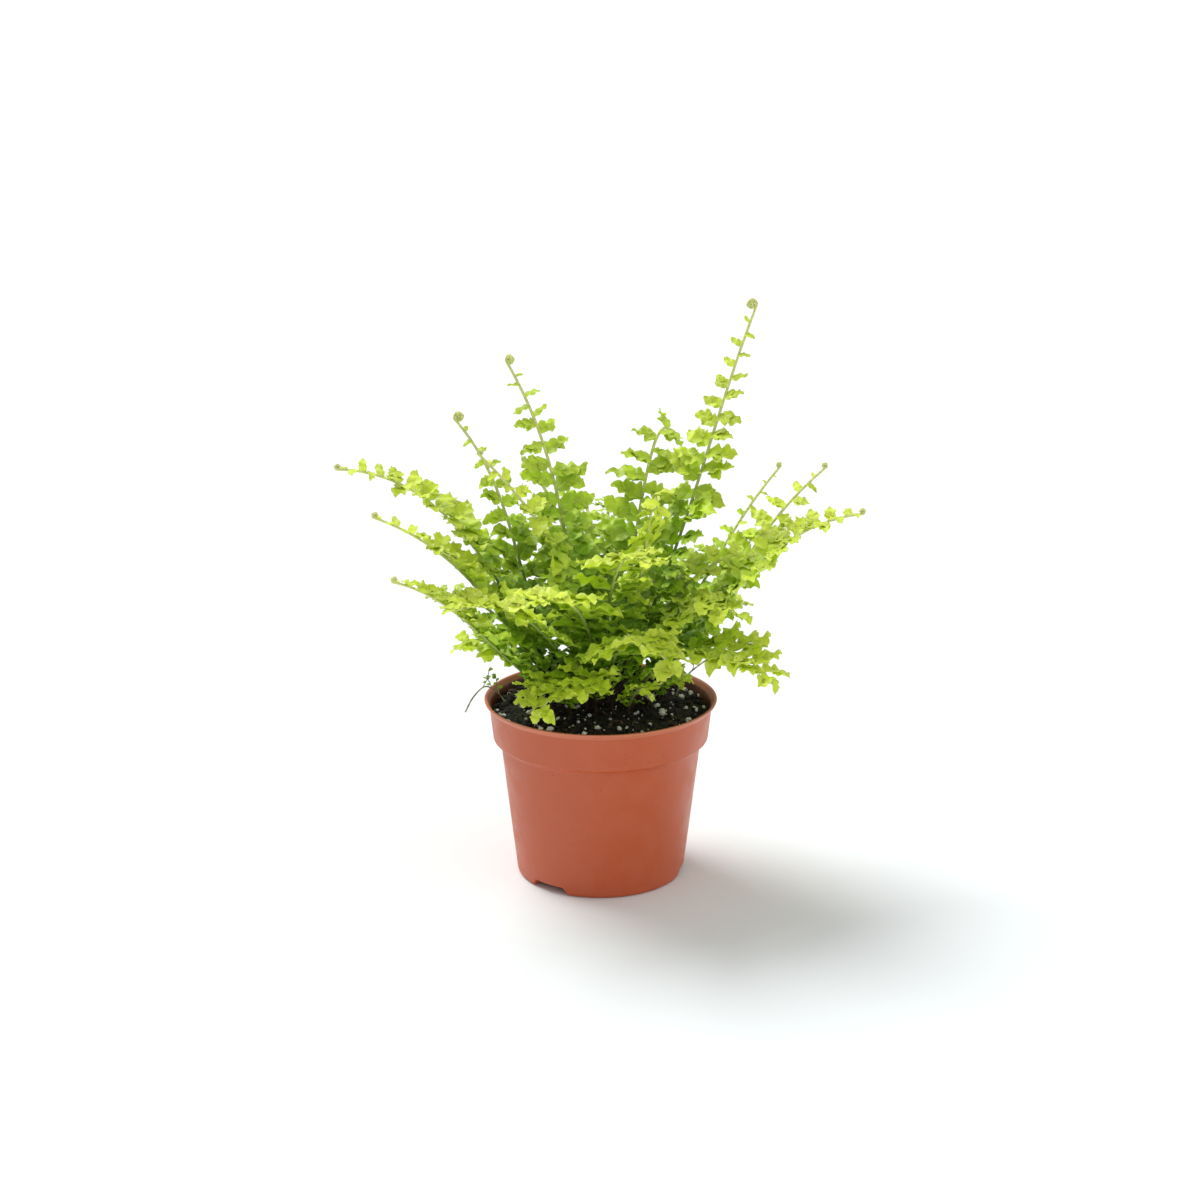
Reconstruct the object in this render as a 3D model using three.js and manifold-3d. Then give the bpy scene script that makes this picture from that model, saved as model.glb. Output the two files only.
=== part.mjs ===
// A young ruffled sword fern in its round plastic grower's pot.
//
// Millimetres, +Z up. The origin is on the floor, on the pot's axis. +X is the plant's right as it is
// usually seen, and -Y is its front. The plant is a crown of separate fronds. Each one is a rib that rises
// from its own hole in the soil, arches over and ends in a coiled tip, with lobed leaflets down both sides.

import * as THREE from 'three';
import Module from 'manifold-3d';
import { mergeVertices } from 'three/addons/utils/BufferGeometryUtils.js';

const wasm = await Module();
wasm.setup();

// ---------------------------------------------------------------- driving dimensions, in mm and degrees

const POT = {
  height: 94,
  lipRadius: 60,
  lipDepth: 1.6,
  lipWall: 1.6,
  lipWallDepth: 2,
  collarTopRadius: 57.6,
  collarBottomRadius: 55.5,
  collarHeight: 20.7,
  shoulderHeight: 1.8,
  bodyTopRadius: 51.8,
  baseRadius: 43.7,
  wall: 1.4,
  shoulderWall: 1,
  footHeight: 5,
  footWidth: 2.6,
  edgeRound: 1.2,
  sides: 36,
};
const FOOT_NOTCH = { count: 3, firstAngle: 232, bottomWidth: 24, topWidth: 17, height: 3.6 };
const DRAIN_HOLE = { count: 4, ring: 24, radius: 5, sides: 8 };

const SOIL = { edgeHeight: 88, moundHeight: 3.5, rings: 5, sides: 24, crumb: 0.7 };
const PERLITE = { count: 12, radius: 1.6, innermost: 30 };
const SEAT_GAP = 0.3;
const WALL_GAP = 0.55;
const SHOULDER_GAP = 0.6;

const STEM_HOLE = { radius: 1.7, depth: 6, sides: 4 };
const RIB = { baseWidth: 1.5, tipWidth: 1.2, depthShare: 0.85, bareSegments: 3 };
const COIL = { radius: 2.6, innerRadius: 1.05, turns: 1.1, segments: 6 };
const HOOK = { radius: 1.5, innerRadius: 1.1, turns: 0.45, segments: 3 };
const BLADE_THICKNESS = 0.7;
const LEAFLET_CLEARANCE = 2.1;
const SAMPLE_STEP = 1.6;

// Each frond's course, in the order in which the fronds are given their room.
//   heading  direction it grows in, seen from above: 0 is right, 90 is back, 180 is left, 270 is front
//   root     distance of its foot from the pot's axis
//   reach    distance of its tip from the pot's axis
//   height   height of its tip above the floor
//   lean     lean from upright where it leaves the soil
//   tip      slope of its tip, above (+) or below (-) the horizontal
//   sway     how far its middle swings to the left of its heading
//   face     how far the blade is turned towards the front
//   leaf     length of its longest leaflets
//   full     how far from its tip they reach that length, as a share of the leafy part
//   pairs    pairs of leaflets
const FRONDS = [
  // upright fronds
  { heading: 11, root: 5, reach: 79, height: 294, lean: 28, tip: 71, sway: 7, face: 52, leaf: 19, full: 0.55, pairs: 17 },
  { heading: 144, root: 6, reach: 59, height: 262, lean: 11, tip: 50, sway: 3, face: 50, leaf: 18, full: 0.5, pairs: 15 },
  { heading: 168, root: 12, reach: 75, height: 236, lean: 34, tip: 48, sway: 0, face: 45, leaf: 16, full: 0.5, pairs: 13 },
  { heading: 194, root: 6, reach: 62, height: 225, lean: 0, tip: 46, sway: 0, face: 42, leaf: 18, full: 0.4, pairs: 11 },
  { heading: 128, root: 12, reach: 66, height: 207, lean: 5, tip: 32, sway: -5, face: 45, leaf: 17, full: 0.45, pairs: 10 },
  { heading: 53, root: 8, reach: 63, height: 220, lean: 13, tip: -48, sway: -7, face: 50, leaf: 19, full: 0.35, pairs: 11 },
  { heading: 102, root: 12, reach: 77, height: 182, lean: 9, tip: -23, sway: -8, face: 20, leaf: 14, full: 0.4, pairs: 8 },
  { heading: 285, root: 5, reach: 80, height: 186, lean: 15, tip: -10, sway: -5, face: 0, leaf: 20, full: 0.3, pairs: 10 },
  { heading: 313, root: 10, reach: 40, height: 198, lean: 15, tip: -75, sway: 10, face: 15, leaf: 15, full: 0.4, pairs: 9 },
  // fronds that arch out to the left
  { heading: 184, root: 17, reach: 131, height: 216, lean: 29, tip: 3, sway: -3, face: 14, leaf: 18, full: 0.4, pairs: 15 },
  { heading: 200, root: 18, reach: 117, height: 199, lean: 37, tip: 23, sway: 6, face: 16, leaf: 17, full: 0.42, pairs: 13 },
  { heading: 211, root: 20, reach: 116, height: 172, lean: 51, tip: 21, sway: -8, face: 14, leaf: 17, full: 0.4, pairs: 12 },
  { heading: 224, root: 13, reach: 98, height: 160, lean: 20, tip: -5, sway: 0, face: 10, leaf: 20, full: 0.28, pairs: 11 },
  // fronds that arch out to the right
  { heading: 34, root: 20, reach: 115, height: 201, lean: 44, tip: 38, sway: -2, face: 34, leaf: 10, full: 0.6, pairs: 9 },
  { heading: 17, root: 17, reach: 122, height: 207, lean: 50, tip: 35, sway: -3, face: 36, leaf: 16, full: 0.32, pairs: 12 },
  { heading: 353, root: 17, reach: 131, height: 195, lean: 45, tip: 7, sway: -6, face: 12, leaf: 19, full: 0.36, pairs: 14 },
  { heading: 2, root: 11, reach: 86, height: 168, lean: 20, tip: -15, sway: 3, face: 15, leaf: 16, full: 0.3, pairs: 8 },
  { heading: 335, root: 12, reach: 77, height: 146, lean: 18, tip: -35, sway: 0, face: 12, leaf: 19, full: 0.3, pairs: 9 },
  // fronds that arch forward
  { heading: 246, root: 11, reach: 94, height: 167, lean: 5, tip: -10, sway: 12, face: 0, leaf: 20, full: 0.25, pairs: 10 },
  { heading: 293, root: 15, reach: 87, height: 136, lean: 5, tip: -50, sway: -12, face: 0, leaf: 20, full: 0.25, pairs: 9 },
  { heading: 328, root: 19, reach: 98, height: 119, lean: 10, tip: -50, sway: 6, face: 14, leaf: 20, full: 0.12, pairs: 11 },
  { heading: 244, root: 16, reach: 68, height: 106, lean: 0, tip: -60, sway: 5, face: 0, leaf: 17, full: 0.08, pairs: 6 },
  { heading: 262, root: 18, reach: 58, height: 114, lean: 5, tip: -45, sway: 0, face: 0, leaf: 14, full: 0.1, pairs: 6 },
  // fronds at the back
  { heading: 70, root: 18, reach: 91, height: 162, lean: 30, tip: -10, sway: 4, face: 0, leaf: 15, full: 0.4, pairs: 7 },
  { heading: 88, root: 6, reach: 84, height: 178, lean: 15, tip: -10, sway: -4, face: 0, leaf: 15, full: 0.4, pairs: 7 },
  { heading: 115, root: 18, reach: 94, height: 148, lean: 32, tip: -20, sway: 3, face: 0, leaf: 15, full: 0.4, pairs: 7 },
  { heading: 138, root: 20, reach: 105, height: 162, lean: 38, tip: 5, sway: -4, face: 10, leaf: 15, full: 0.45, pairs: 7 },
  { heading: 48, root: 15, reach: 92, height: 152, lean: 25, tip: -15, sway: 0, face: 10, leaf: 15, full: 0.4, pairs: 7 },
  { heading: 96, root: 23, reach: 87, height: 118, lean: 30, tip: -50, sway: 0, face: 0, leaf: 15, full: 0.35, pairs: 7 },
  { heading: 156, root: 20, reach: 98, height: 136, lean: 36, tip: -25, sway: 4, face: 10, leaf: 15, full: 0.4, pairs: 7 },
  { heading: 27, root: 24, reach: 86, height: 132, lean: 34, tip: -30, sway: 0, face: 10, leaf: 14, full: 0.4, pairs: 6 },
  // short young fronds near the rim
  { heading: 190, root: 24, reach: 74, height: 124, lean: 40, tip: -45, sway: 0, face: 10, leaf: 14, full: 0.2, pairs: 6 },
  { heading: 236, root: 27, reach: 58, height: 110, lean: 5, tip: -55, sway: 0, face: 10, leaf: 15, full: 0.2, pairs: 6 },
  { heading: 8, root: 30, reach: 46, height: 102, lean: 0, tip: -70, sway: 0, face: 20, leaf: 11, full: 0.25, pairs: 4 },
  { heading: 304, root: 25, reach: 44, height: 107, lean: 0, tip: -60, sway: 0, face: 0, leaf: 10, full: 0.25, pairs: 5 },
  { heading: 74, root: 30, reach: 62, height: 112, lean: 10, tip: -40, sway: 0, face: 0, leaf: 11, full: 0.35, pairs: 5 },
];

const HANDLE = { foot: 0.42, tip: 0.34 };
const LEAFY = { first: 0.22, last: 0.97 };

// How a leaflet's length falls off: to a share of the longest at the tip, by a power of the distance from it, and
// by a share over the lowest part of the blade.
const TAPER = { tipLength: 0.28, power: 1.1, footLoss: 0.35, footShare: 0.25 };

// Leaflet outlines: how far out (0 rib, 1 tip) and how far along the rib (-0.5 to 0.5 of a leaflet's width)
// each point lies, from the rear shoulder round the tip to the front shoulder. Lobes and notches alternate.
const OUTLINES = {
  blunt: {
    points: [[0.84, -0.42], [0.96, 0.3]],
    faces: [[0, 1, 2], [0, 2, 3]],
  },
  small: {
    points: [[0.52, -0.48], [1, 0.02], [0.5, 0.5]],
    faces: [[0, 1, 2], [0, 2, 4], [4, 2, 3]],
  },
  lobed: {
    points: [[0.36, -0.5], [0.58, -0.24], [1, 0.04], [0.6, 0.2], [0.32, 0.5]],
    faces: [[0, 1, 2], [0, 2, 4], [2, 3, 4], [0, 4, 6], [6, 4, 5]],
  },
  ruffled: {
    points: [[0.26, -0.5], [0.42, -0.27], [0.66, -0.42], [1, 0.02], [0.7, 0.4], [0.46, 0.24], [0.24, 0.5]],
    faces: [[0, 1, 2], [0, 2, 6], [2, 3, 4], [2, 4, 6], [4, 5, 6], [0, 6, 8], [8, 6, 7]],
  },
};
const LEAFLET = { pitchShare: 0.8, slimness: 0.62, sweep: 0.22, droop: 0.16, ruffle: 0.07, twist: 0.3 };

// A leaflet's lift out of the blade, drawn for each one, and the lengths from which the fuller outlines are used.
const LEANING = { low: -10, high: 24 };
const SMALL_FROM = 9.5;
const LOBED_FROM = 16.5;
const RUFFLED_FROM = 20.8;

// Ways to bend a leaflet clear of its neighbours, tried in this order: its lift, then its length.
const LIFTS = [0, 14, -14, 28, -28, 42, -42, 56, -56];
const LENGTHS = [1, 0.8, 0.62, 0.45];

// Thin dry runners that hang over the pot's rim: the places that each one passes, from its hole in the soil.
const RUNNERS = [
  [[-50, 5], [-54, 5, 95], [-60, 4, 98], [-66, 1, 93], [-70, -2, 86]],
  [[40, 16], [45, 18, 99], [51, 20, 104], [58, 23, 108]],
];
const RUNNER = { width: 0.9, depth: 5, steps: 10, holeRadius: 1.2 };

const COLOURS = {
  pot: { color: '#b35c3d', roughness: 0.55, metalness: 0 },
  soil: { color: '#241812', roughness: 0.95, metalness: 0 },
  leafBright: { color: '#9ccb1f', roughness: 0.6, metalness: 0 },
  leafDeep: { color: '#5f9a17', roughness: 0.6, metalness: 0 },
  runner: { color: '#a39a6a', roughness: 0.8, metalness: 0 },
};

// ---------------------------------------------------------------- small helpers

const radians = THREE.MathUtils.degToRad;
const lerp = THREE.MathUtils.lerp;

// A repeatable number from 0 to 1 for each index, the same every time.
function draw(index) {
  const wave = Math.sin(index * 127.1 + 311.7) * 43758.5453;
  return wave - Math.floor(wave);
}

function polar(angle, radius, z) {
  return new THREE.Vector3(radius * Math.cos(radians(angle)), radius * Math.sin(radians(angle)), z);
}

function solidOf(geometry) {
  const bare = geometry.clone();
  bare.deleteAttribute('normal');
  bare.deleteAttribute('uv');
  const merged = mergeVertices(bare, 1e-4);
  const vertProperties = new Float32Array(merged.attributes.position.array);
  const triVerts = new Uint32Array(merged.index.array);
  return new wasm.Manifold(new wasm.Mesh({ numProp: 3, vertProperties, triVerts }));
}

function geometryOf(solid) {
  const mesh = solid.getMesh();
  const geometry = new THREE.BufferGeometry();
  geometry.setAttribute('position', new THREE.BufferAttribute(mesh.vertProperties, 3));
  geometry.setIndex(new THREE.BufferAttribute(mesh.triVerts, 1));
  return geometry;
}

function geometryFrom(vertices, triangles) {
  const geometry = new THREE.BufferGeometry();
  const flat = vertices.flatMap((vertex) => vertex.toArray());
  geometry.setAttribute('position', new THREE.Float32BufferAttribute(flat, 3));
  geometry.setIndex(triangles.flat());
  geometry.computeVertexNormals();
  return geometry;
}

// A lathe about Z from a profile of [radius, height] that runs up the outside.
function turned(profile, sides) {
  const points = profile.map(([radius, height]) => new THREE.Vector2(radius, height));
  const geometry = new THREE.LatheGeometry(points, sides);
  geometry.rotateX(Math.PI / 2);
  return geometry;
}

function upright(radius, low, high, sides) {
  const geometry = new THREE.CylinderGeometry(radius, radius, high - low, sides);
  geometry.rotateX(Math.PI / 2);
  geometry.translate(0, 0, (low + high) / 2);
  return geometry;
}

function named(name, geometry, look) {
  const mesh = new THREE.Mesh(geometry, new THREE.MeshStandardMaterial(look));
  mesh.name = name;
  return mesh;
}

// ---------------------------------------------------------------- pot

const shoulderTop = POT.height - POT.collarHeight;
const shoulderBottom = shoulderTop - POT.shoulderHeight;
const innerShoulderTop = shoulderTop + POT.shoulderWall;
const innerShoulderBottom = shoulderBottom + POT.shoulderWall;

function potProfile() {
  const foot = POT.baseRadius - POT.edgeRound;
  const top = POT.height;
  return [
    [0, POT.footHeight],
    [foot - POT.footWidth - 1, POT.footHeight],
    [foot - POT.footWidth, 0],
    [foot, 0],
    [POT.baseRadius, POT.edgeRound],
    [POT.bodyTopRadius, shoulderBottom],
    [POT.collarBottomRadius, shoulderTop],
    [POT.collarTopRadius, top - POT.lipDepth - 0.7],
    [POT.lipRadius, top - POT.lipDepth],
    [POT.lipRadius, top - 0.5],
    [POT.lipRadius - 0.6, top],
    [POT.collarTopRadius - POT.wall + 0.8, top],
    [POT.collarTopRadius - POT.lipWall, top - POT.lipWallDepth],
    [POT.collarBottomRadius - POT.wall, innerShoulderTop],
    [POT.bodyTopRadius - POT.wall, innerShoulderBottom],
    [POT.baseRadius - POT.wall, POT.footHeight + POT.wall],
    [0, POT.footHeight + POT.wall],
  ];
}

// A notch is a long block with sloped ends, laid across the foot ring.
function footNotch(angle) {
  const low = FOOT_NOTCH.bottomWidth / 2;
  const high = FOOT_NOTCH.topWidth / 2;
  const shape = new THREE.Shape();
  shape.moveTo(-low, -1);
  shape.lineTo(low, -1);
  shape.lineTo(low, 0);
  shape.lineTo(high, FOOT_NOTCH.height);
  shape.lineTo(-high, FOOT_NOTCH.height);
  shape.lineTo(-low, 0);
  const geometry = new THREE.ExtrudeGeometry(shape, { depth: 16, bevelEnabled: false });
  geometry.rotateX(Math.PI / 2);
  geometry.translate(0, POT.baseRadius + 4, 0);
  geometry.rotateZ(radians(angle - 90));
  return geometry;
}

function pot() {
  let solid = solidOf(turned(potProfile(), POT.sides));
  for (let i = 0; i < FOOT_NOTCH.count; i += 1) {
    const angle = FOOT_NOTCH.firstAngle + (i * 360) / FOOT_NOTCH.count;
    solid = solid.subtract(solidOf(footNotch(angle)));
  }
  for (let i = 0; i < DRAIN_HOLE.count; i += 1) {
    const hole = upright(DRAIN_HOLE.radius, 0, POT.footHeight + 4, DRAIN_HOLE.sides);
    const place = polar(45 + (i * 360) / DRAIN_HOLE.count, DRAIN_HOLE.ring, 0);
    hole.translate(place.x, place.y, 0);
    solid = solid.subtract(solidOf(hole));
  }
  return geometryOf(solid);
}

// ---------------------------------------------------------------- soil

function potInnerRadius(z) {
  const floor = POT.footHeight + POT.wall;
  if (z < innerShoulderBottom) {
    const share = (z - floor) / (innerShoulderBottom - floor);
    return lerp(POT.baseRadius, POT.bodyTopRadius, share) - POT.wall;
  }
  if (z < innerShoulderTop) {
    const share = (z - innerShoulderBottom) / POT.shoulderHeight;
    return lerp(POT.bodyTopRadius, POT.collarBottomRadius, share) - POT.wall;
  }
  const share = (z - innerShoulderTop) / (POT.height - POT.lipWallDepth - innerShoulderTop);
  return lerp(POT.collarBottomRadius - POT.wall, POT.collarTopRadius - POT.lipWall, share);
}

const soilRadius = potInnerRadius(SOIL.edgeHeight) - WALL_GAP;

// The soil's top: a low mound in the middle of the pot.
function soilHeight(x, y) {
  const share = Math.min(1, Math.hypot(x, y) / soilRadius);
  return SOIL.edgeHeight + SOIL.moundHeight * (1 - share * share);
}

function soilBody() {
  const floor = POT.footHeight + POT.wall + SEAT_GAP;
  const profile = [
    [0, floor],
    [potInnerRadius(floor) - WALL_GAP, floor],
    [potInnerRadius(innerShoulderBottom) - WALL_GAP, innerShoulderBottom + SHOULDER_GAP],
    [potInnerRadius(innerShoulderTop) - WALL_GAP, innerShoulderTop + SHOULDER_GAP],
    [soilRadius, SOIL.edgeHeight],
  ];
  for (let i = SOIL.rings - 1; i >= 0; i -= 1) {
    const radius = (soilRadius * i) / SOIL.rings;
    profile.push([radius, soilHeight(radius, 0)]);
  }
  const geometry = turned(profile, SOIL.sides);
  const place = geometry.attributes.position;
  for (let i = 0; i < place.count; i += 1) {
    const x = place.getX(i);
    const y = place.getY(i);
    const z = place.getZ(i);
    const radius = Math.hypot(x, y);
    if (z > SOIL.edgeHeight + 0.01 && radius > 0.1) {
      const crumbs = Math.sin(x * 0.9 + 1) * Math.sin(y * 1.1) + Math.sin(x * 0.37 - y * 0.53);
      place.setZ(i, z + SOIL.crumb * crumbs * 0.5);
    }
  }
  return geometry;
}

function perliteGrain(index) {
  const angle = index * 137.5;
  const radius = lerp(PERLITE.innermost, soilRadius - 3, Math.sqrt(draw(index)));
  const place = polar(angle, radius, 0);
  const grain = new THREE.OctahedronGeometry(PERLITE.radius * lerp(0.8, 1.1, draw(index + 50)));
  grain.rotateX(draw(index + 100) * 3);
  grain.rotateZ(draw(index + 150) * 3);
  grain.translate(place.x, place.y, soilHeight(place.x, place.y) + 0.3);
  return grain;
}

function soil(holes) {
  let solid = solidOf(soilBody());
  for (let i = 0; i < PERLITE.count; i += 1) {
    solid = solid.add(solidOf(perliteGrain(i)));
  }
  for (const { place, radius, depth } of holes) {
    const top = soilHeight(place.x, place.y);
    const hole = upright(radius, top - depth, top + 4, STEM_HOLE.sides);
    hole.translate(place.x, place.y, 0);
    solid = solid.subtract(solidOf(hole));
  }
  return geometryOf(solid);
}

// ---------------------------------------------------------------- fronds

// The course of a frond's rib: a cubic curve from its foot to its tip. It leaves the soil at its lean, reaches
// the tip at the tip's slope, and its middle swings sideways by its sway.
function courseOf(frond) {
  const out = polar(frond.heading, 1, 0);
  const side = polar(frond.heading + 90, 1, 0);
  const up = new THREE.Vector3(0, 0, 1);
  const foot = out.clone().multiplyScalar(frond.root);
  foot.z = soilHeight(foot.x, foot.y) + 1;
  const tip = out.clone().multiplyScalar(frond.reach);
  tip.z = frond.height;
  const span = foot.distanceTo(tip);
  const lean = radians(frond.lean);
  const slope = radians(frond.tip);
  const first = foot.clone()
    .addScaledVector(out, HANDLE.foot * span * Math.sin(lean))
    .addScaledVector(up, HANDLE.foot * span * Math.cos(lean))
    .addScaledVector(side, frond.sway * 0.6);
  const second = tip.clone()
    .addScaledVector(out, -HANDLE.tip * span * Math.cos(slope))
    .addScaledVector(up, -HANDLE.tip * span * Math.sin(slope))
    .addScaledVector(side, frond.sway);
  return { curve: new THREE.CubicBezierCurve3(foot, first, second, tip), foot, side };
}

// A place on the rib with its three directions: along the rib, to its left side, and out of its upper face.
function frameAt(frond, course, share) {
  const centre = course.curve.getPointAt(share);
  const along = course.curve.getTangentAt(share);
  const side = course.side.clone().addScaledVector(along, -course.side.dot(along)).normalize();
  const facing = Math.sign(Math.cos(radians(frond.heading)));
  side.applyAxisAngle(along, radians(frond.face * facing * share));
  const up = new THREE.Vector3().crossVectors(along, side);
  return { centre, along, side, up };
}

// The rib's three edges, spread round its centre: left and right of its upper face, and the keel below.
function edgesAt(frame, width) {
  const depth = width * RIB.depthShare;
  const face = frame.centre.clone().addScaledVector(frame.up, depth / 3);
  const left = face.clone().addScaledVector(frame.side, width / 2);
  const right = face.clone().addScaledVector(frame.side, -width / 2);
  const keel = face.clone().addScaledVector(frame.up, -depth);
  return { left, right, keel };
}

// Every station of a frond's rib, from the bottom of its hole to the inside of its tip: coiled on a frond that
// still rises there, hooked on one that droops.
function stationsOf(frond, course) {
  const stations = [];
  const buried = frameAt(frond, course, 0);
  buried.along.set(0, 0, 1);
  buried.side.copy(course.side);
  buried.up.crossVectors(buried.along, buried.side);
  buried.centre.z -= STEM_HOLE.depth + 1 - SEAT_GAP;
  stations.push(edgesAt(buried, RIB.baseWidth));
  for (let i = 0; i < RIB.bareSegments; i += 1) {
    const share = (LEAFY.first * i) / RIB.bareSegments;
    stations.push(edgesAt(frameAt(frond, course, share), RIB.baseWidth));
  }
  const firstLeafy = stations.length;
  const seats = frond.pairs * 2;
  for (let i = 0; i <= seats; i += 1) {
    const frame = frameAt(frond, course, lerp(LEAFY.first, LEAFY.last, i / seats));
    stations.push({ ...edgesAt(frame, lerp(RIB.baseWidth, RIB.tipWidth, i / seats)), frame });
  }
  const tip = frameAt(frond, course, 1);
  const roll = frond.tip < 0 ? HOOK : COIL;
  const hub = tip.centre.clone().addScaledVector(tip.up, roll.radius);
  for (let i = 0; i <= roll.segments; i += 1) {
    const turn = (i / roll.segments) * roll.turns * 2 * Math.PI;
    const radius = lerp(roll.radius, roll.innerRadius, i / roll.segments);
    const up = tip.up.clone().applyAxisAngle(tip.side, -turn);
    const along = tip.along.clone().applyAxisAngle(tip.side, -turn);
    const centre = hub.clone().addScaledVector(up, -radius);
    stations.push(edgesAt({ centre, along, side: tip.side, up }, RIB.tipWidth));
  }
  return { stations, firstLeafy };
}

// How long a leaflet is, by its seat on the rib: shorter at the foot of the blade and small at the tip.
function leafletLength(frond, seat) {
  const share = (seat + 0.5) / (frond.pairs * 2);
  const grown = Math.min(1, (1 - share) / frond.full) ** TAPER.power;
  const taper = lerp(TAPER.tipLength, 1, grown);
  const foot = 1 - TAPER.footLoss * Math.max(0, 1 - share / TAPER.footShare) ** 2;
  return frond.leaf * taper * foot;
}

function outlineFor(length) {
  if (length < SMALL_FROM) {
    return OUTLINES.blunt;
  }
  if (length < LOBED_FROM) {
    return OUTLINES.small;
  }
  return length < RUFFLED_FROM ? OUTLINES.lobed : OUTLINES.ruffled;
}

// The upper face of one leaflet: points from the rear of its seat on the rib, round its lobes, to the front.
function leafletPoints(rear, front, frame, hand, length, lift, index) {
  const outline = outlineFor(length);
  const seat = rear.clone().lerp(front, 0.5);
  const across = front.clone().sub(rear).normalize();
  const pitch = rear.distanceTo(front) * 2;
  const width = Math.min(pitch * LEAFLET.pitchShare, length * LEAFLET.slimness);
  const outward = frame.side.clone().multiplyScalar(hand);
  outward.addScaledVector(across, -outward.dot(across)).normalize();
  outward.applyAxisAngle(across, radians(lift) * hand);
  const normal = new THREE.Vector3().crossVectors(across, outward).multiplyScalar(hand);
  const points = outline.points.map(([out, along], k) => {
    const wave = (k % 2 ? -1 : 1) * LEAFLET.ruffle * length * lerp(0.4, 1, draw(index * 7 + k));
    const height = wave - LEAFLET.droop * length * out * out + LEAFLET.twist * along * width;
    return seat.clone()
      .addScaledVector(outward, out * length)
      .addScaledVector(across, along * width + LEAFLET.sweep * out * width * 0.3)
      .addScaledVector(normal, height);
  });
  return { points: [rear, ...points, front], normal, faces: outline.faces };
}

// Points spread over the faces of a leaflet, close enough together to stand for its surface.
function spreadOver(leaflet) {
  const spots = [];
  for (const [a, b, c] of leaflet.faces) {
    const [p, q, r] = [leaflet.points[a], leaflet.points[b], leaflet.points[c]];
    const longest = Math.max(p.distanceTo(q), q.distanceTo(r), r.distanceTo(p));
    const steps = Math.ceil(longest / SAMPLE_STEP);
    for (let i = 0; i <= steps; i += 1) {
      for (let j = 0; j <= steps - i; j += 1) {
        const spot = p.clone().multiplyScalar(1 - (i + j) / steps);
        spot.addScaledVector(q, i / steps);
        spot.addScaledVector(r, j / steps);
        spots.push(spot);
      }
    }
  }
  return spots;
}

// What the fronds already take up: spots sorted into cubes, so that only close ones are compared.
const taken = new Map();

function cubeOf(spot, dx = 0, dy = 0, dz = 0) {
  const cell = (value, shift) => Math.floor(value / LEAFLET_CLEARANCE) + shift;
  return `${cell(spot.x, dx)},${cell(spot.y, dy)},${cell(spot.z, dz)}`;
}

function take(spot, owner) {
  const cube = cubeOf(spot);
  if (!taken.has(cube)) {
    taken.set(cube, []);
  }
  taken.get(cube).push({ spot, owner });
}

function isFree(spot, owner) {
  for (let dx = -1; dx <= 1; dx += 1) {
    for (let dy = -1; dy <= 1; dy += 1) {
      for (let dz = -1; dz <= 1; dz += 1) {
        const near = taken.get(cubeOf(spot, dx, dy, dz)) ?? [];
        if (near.some((other) => other.owner !== owner && other.spot.distanceTo(spot) < LEAFLET_CLEARANCE)) {
          return false;
        }
      }
    }
  }
  return true;
}

function isClearOfPot(spot) {
  const radius = Math.hypot(spot.x, spot.y);
  if (radius > POT.lipRadius + 2) {
    return true;
  }
  if (radius > soilRadius - 4) {
    return spot.z > POT.height + 2;
  }
  return spot.z > soilHeight(spot.x, spot.y) + PERLITE.radius + 1.5;
}

// Tries one leaflet in each lift and length until it is clear of everything else. Null if none is.
function clearLeaflet(rear, front, frame, hand, length, index, owner) {
  const leaning = lerp(LEANING.low, LEANING.high, draw(index));
  for (const share of LENGTHS) {
    for (const lift of LIFTS) {
      const leaflet = leafletPoints(rear, front, frame, hand, length * share, lift + leaning, index);
      const spots = spreadOver(leaflet);
      if (spots.every((spot) => isClearOfPot(spot) && isFree(spot, owner))) {
        spots.forEach((spot) => take(spot, owner));
        return leaflet;
      }
    }
  }
  return null;
}

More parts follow.
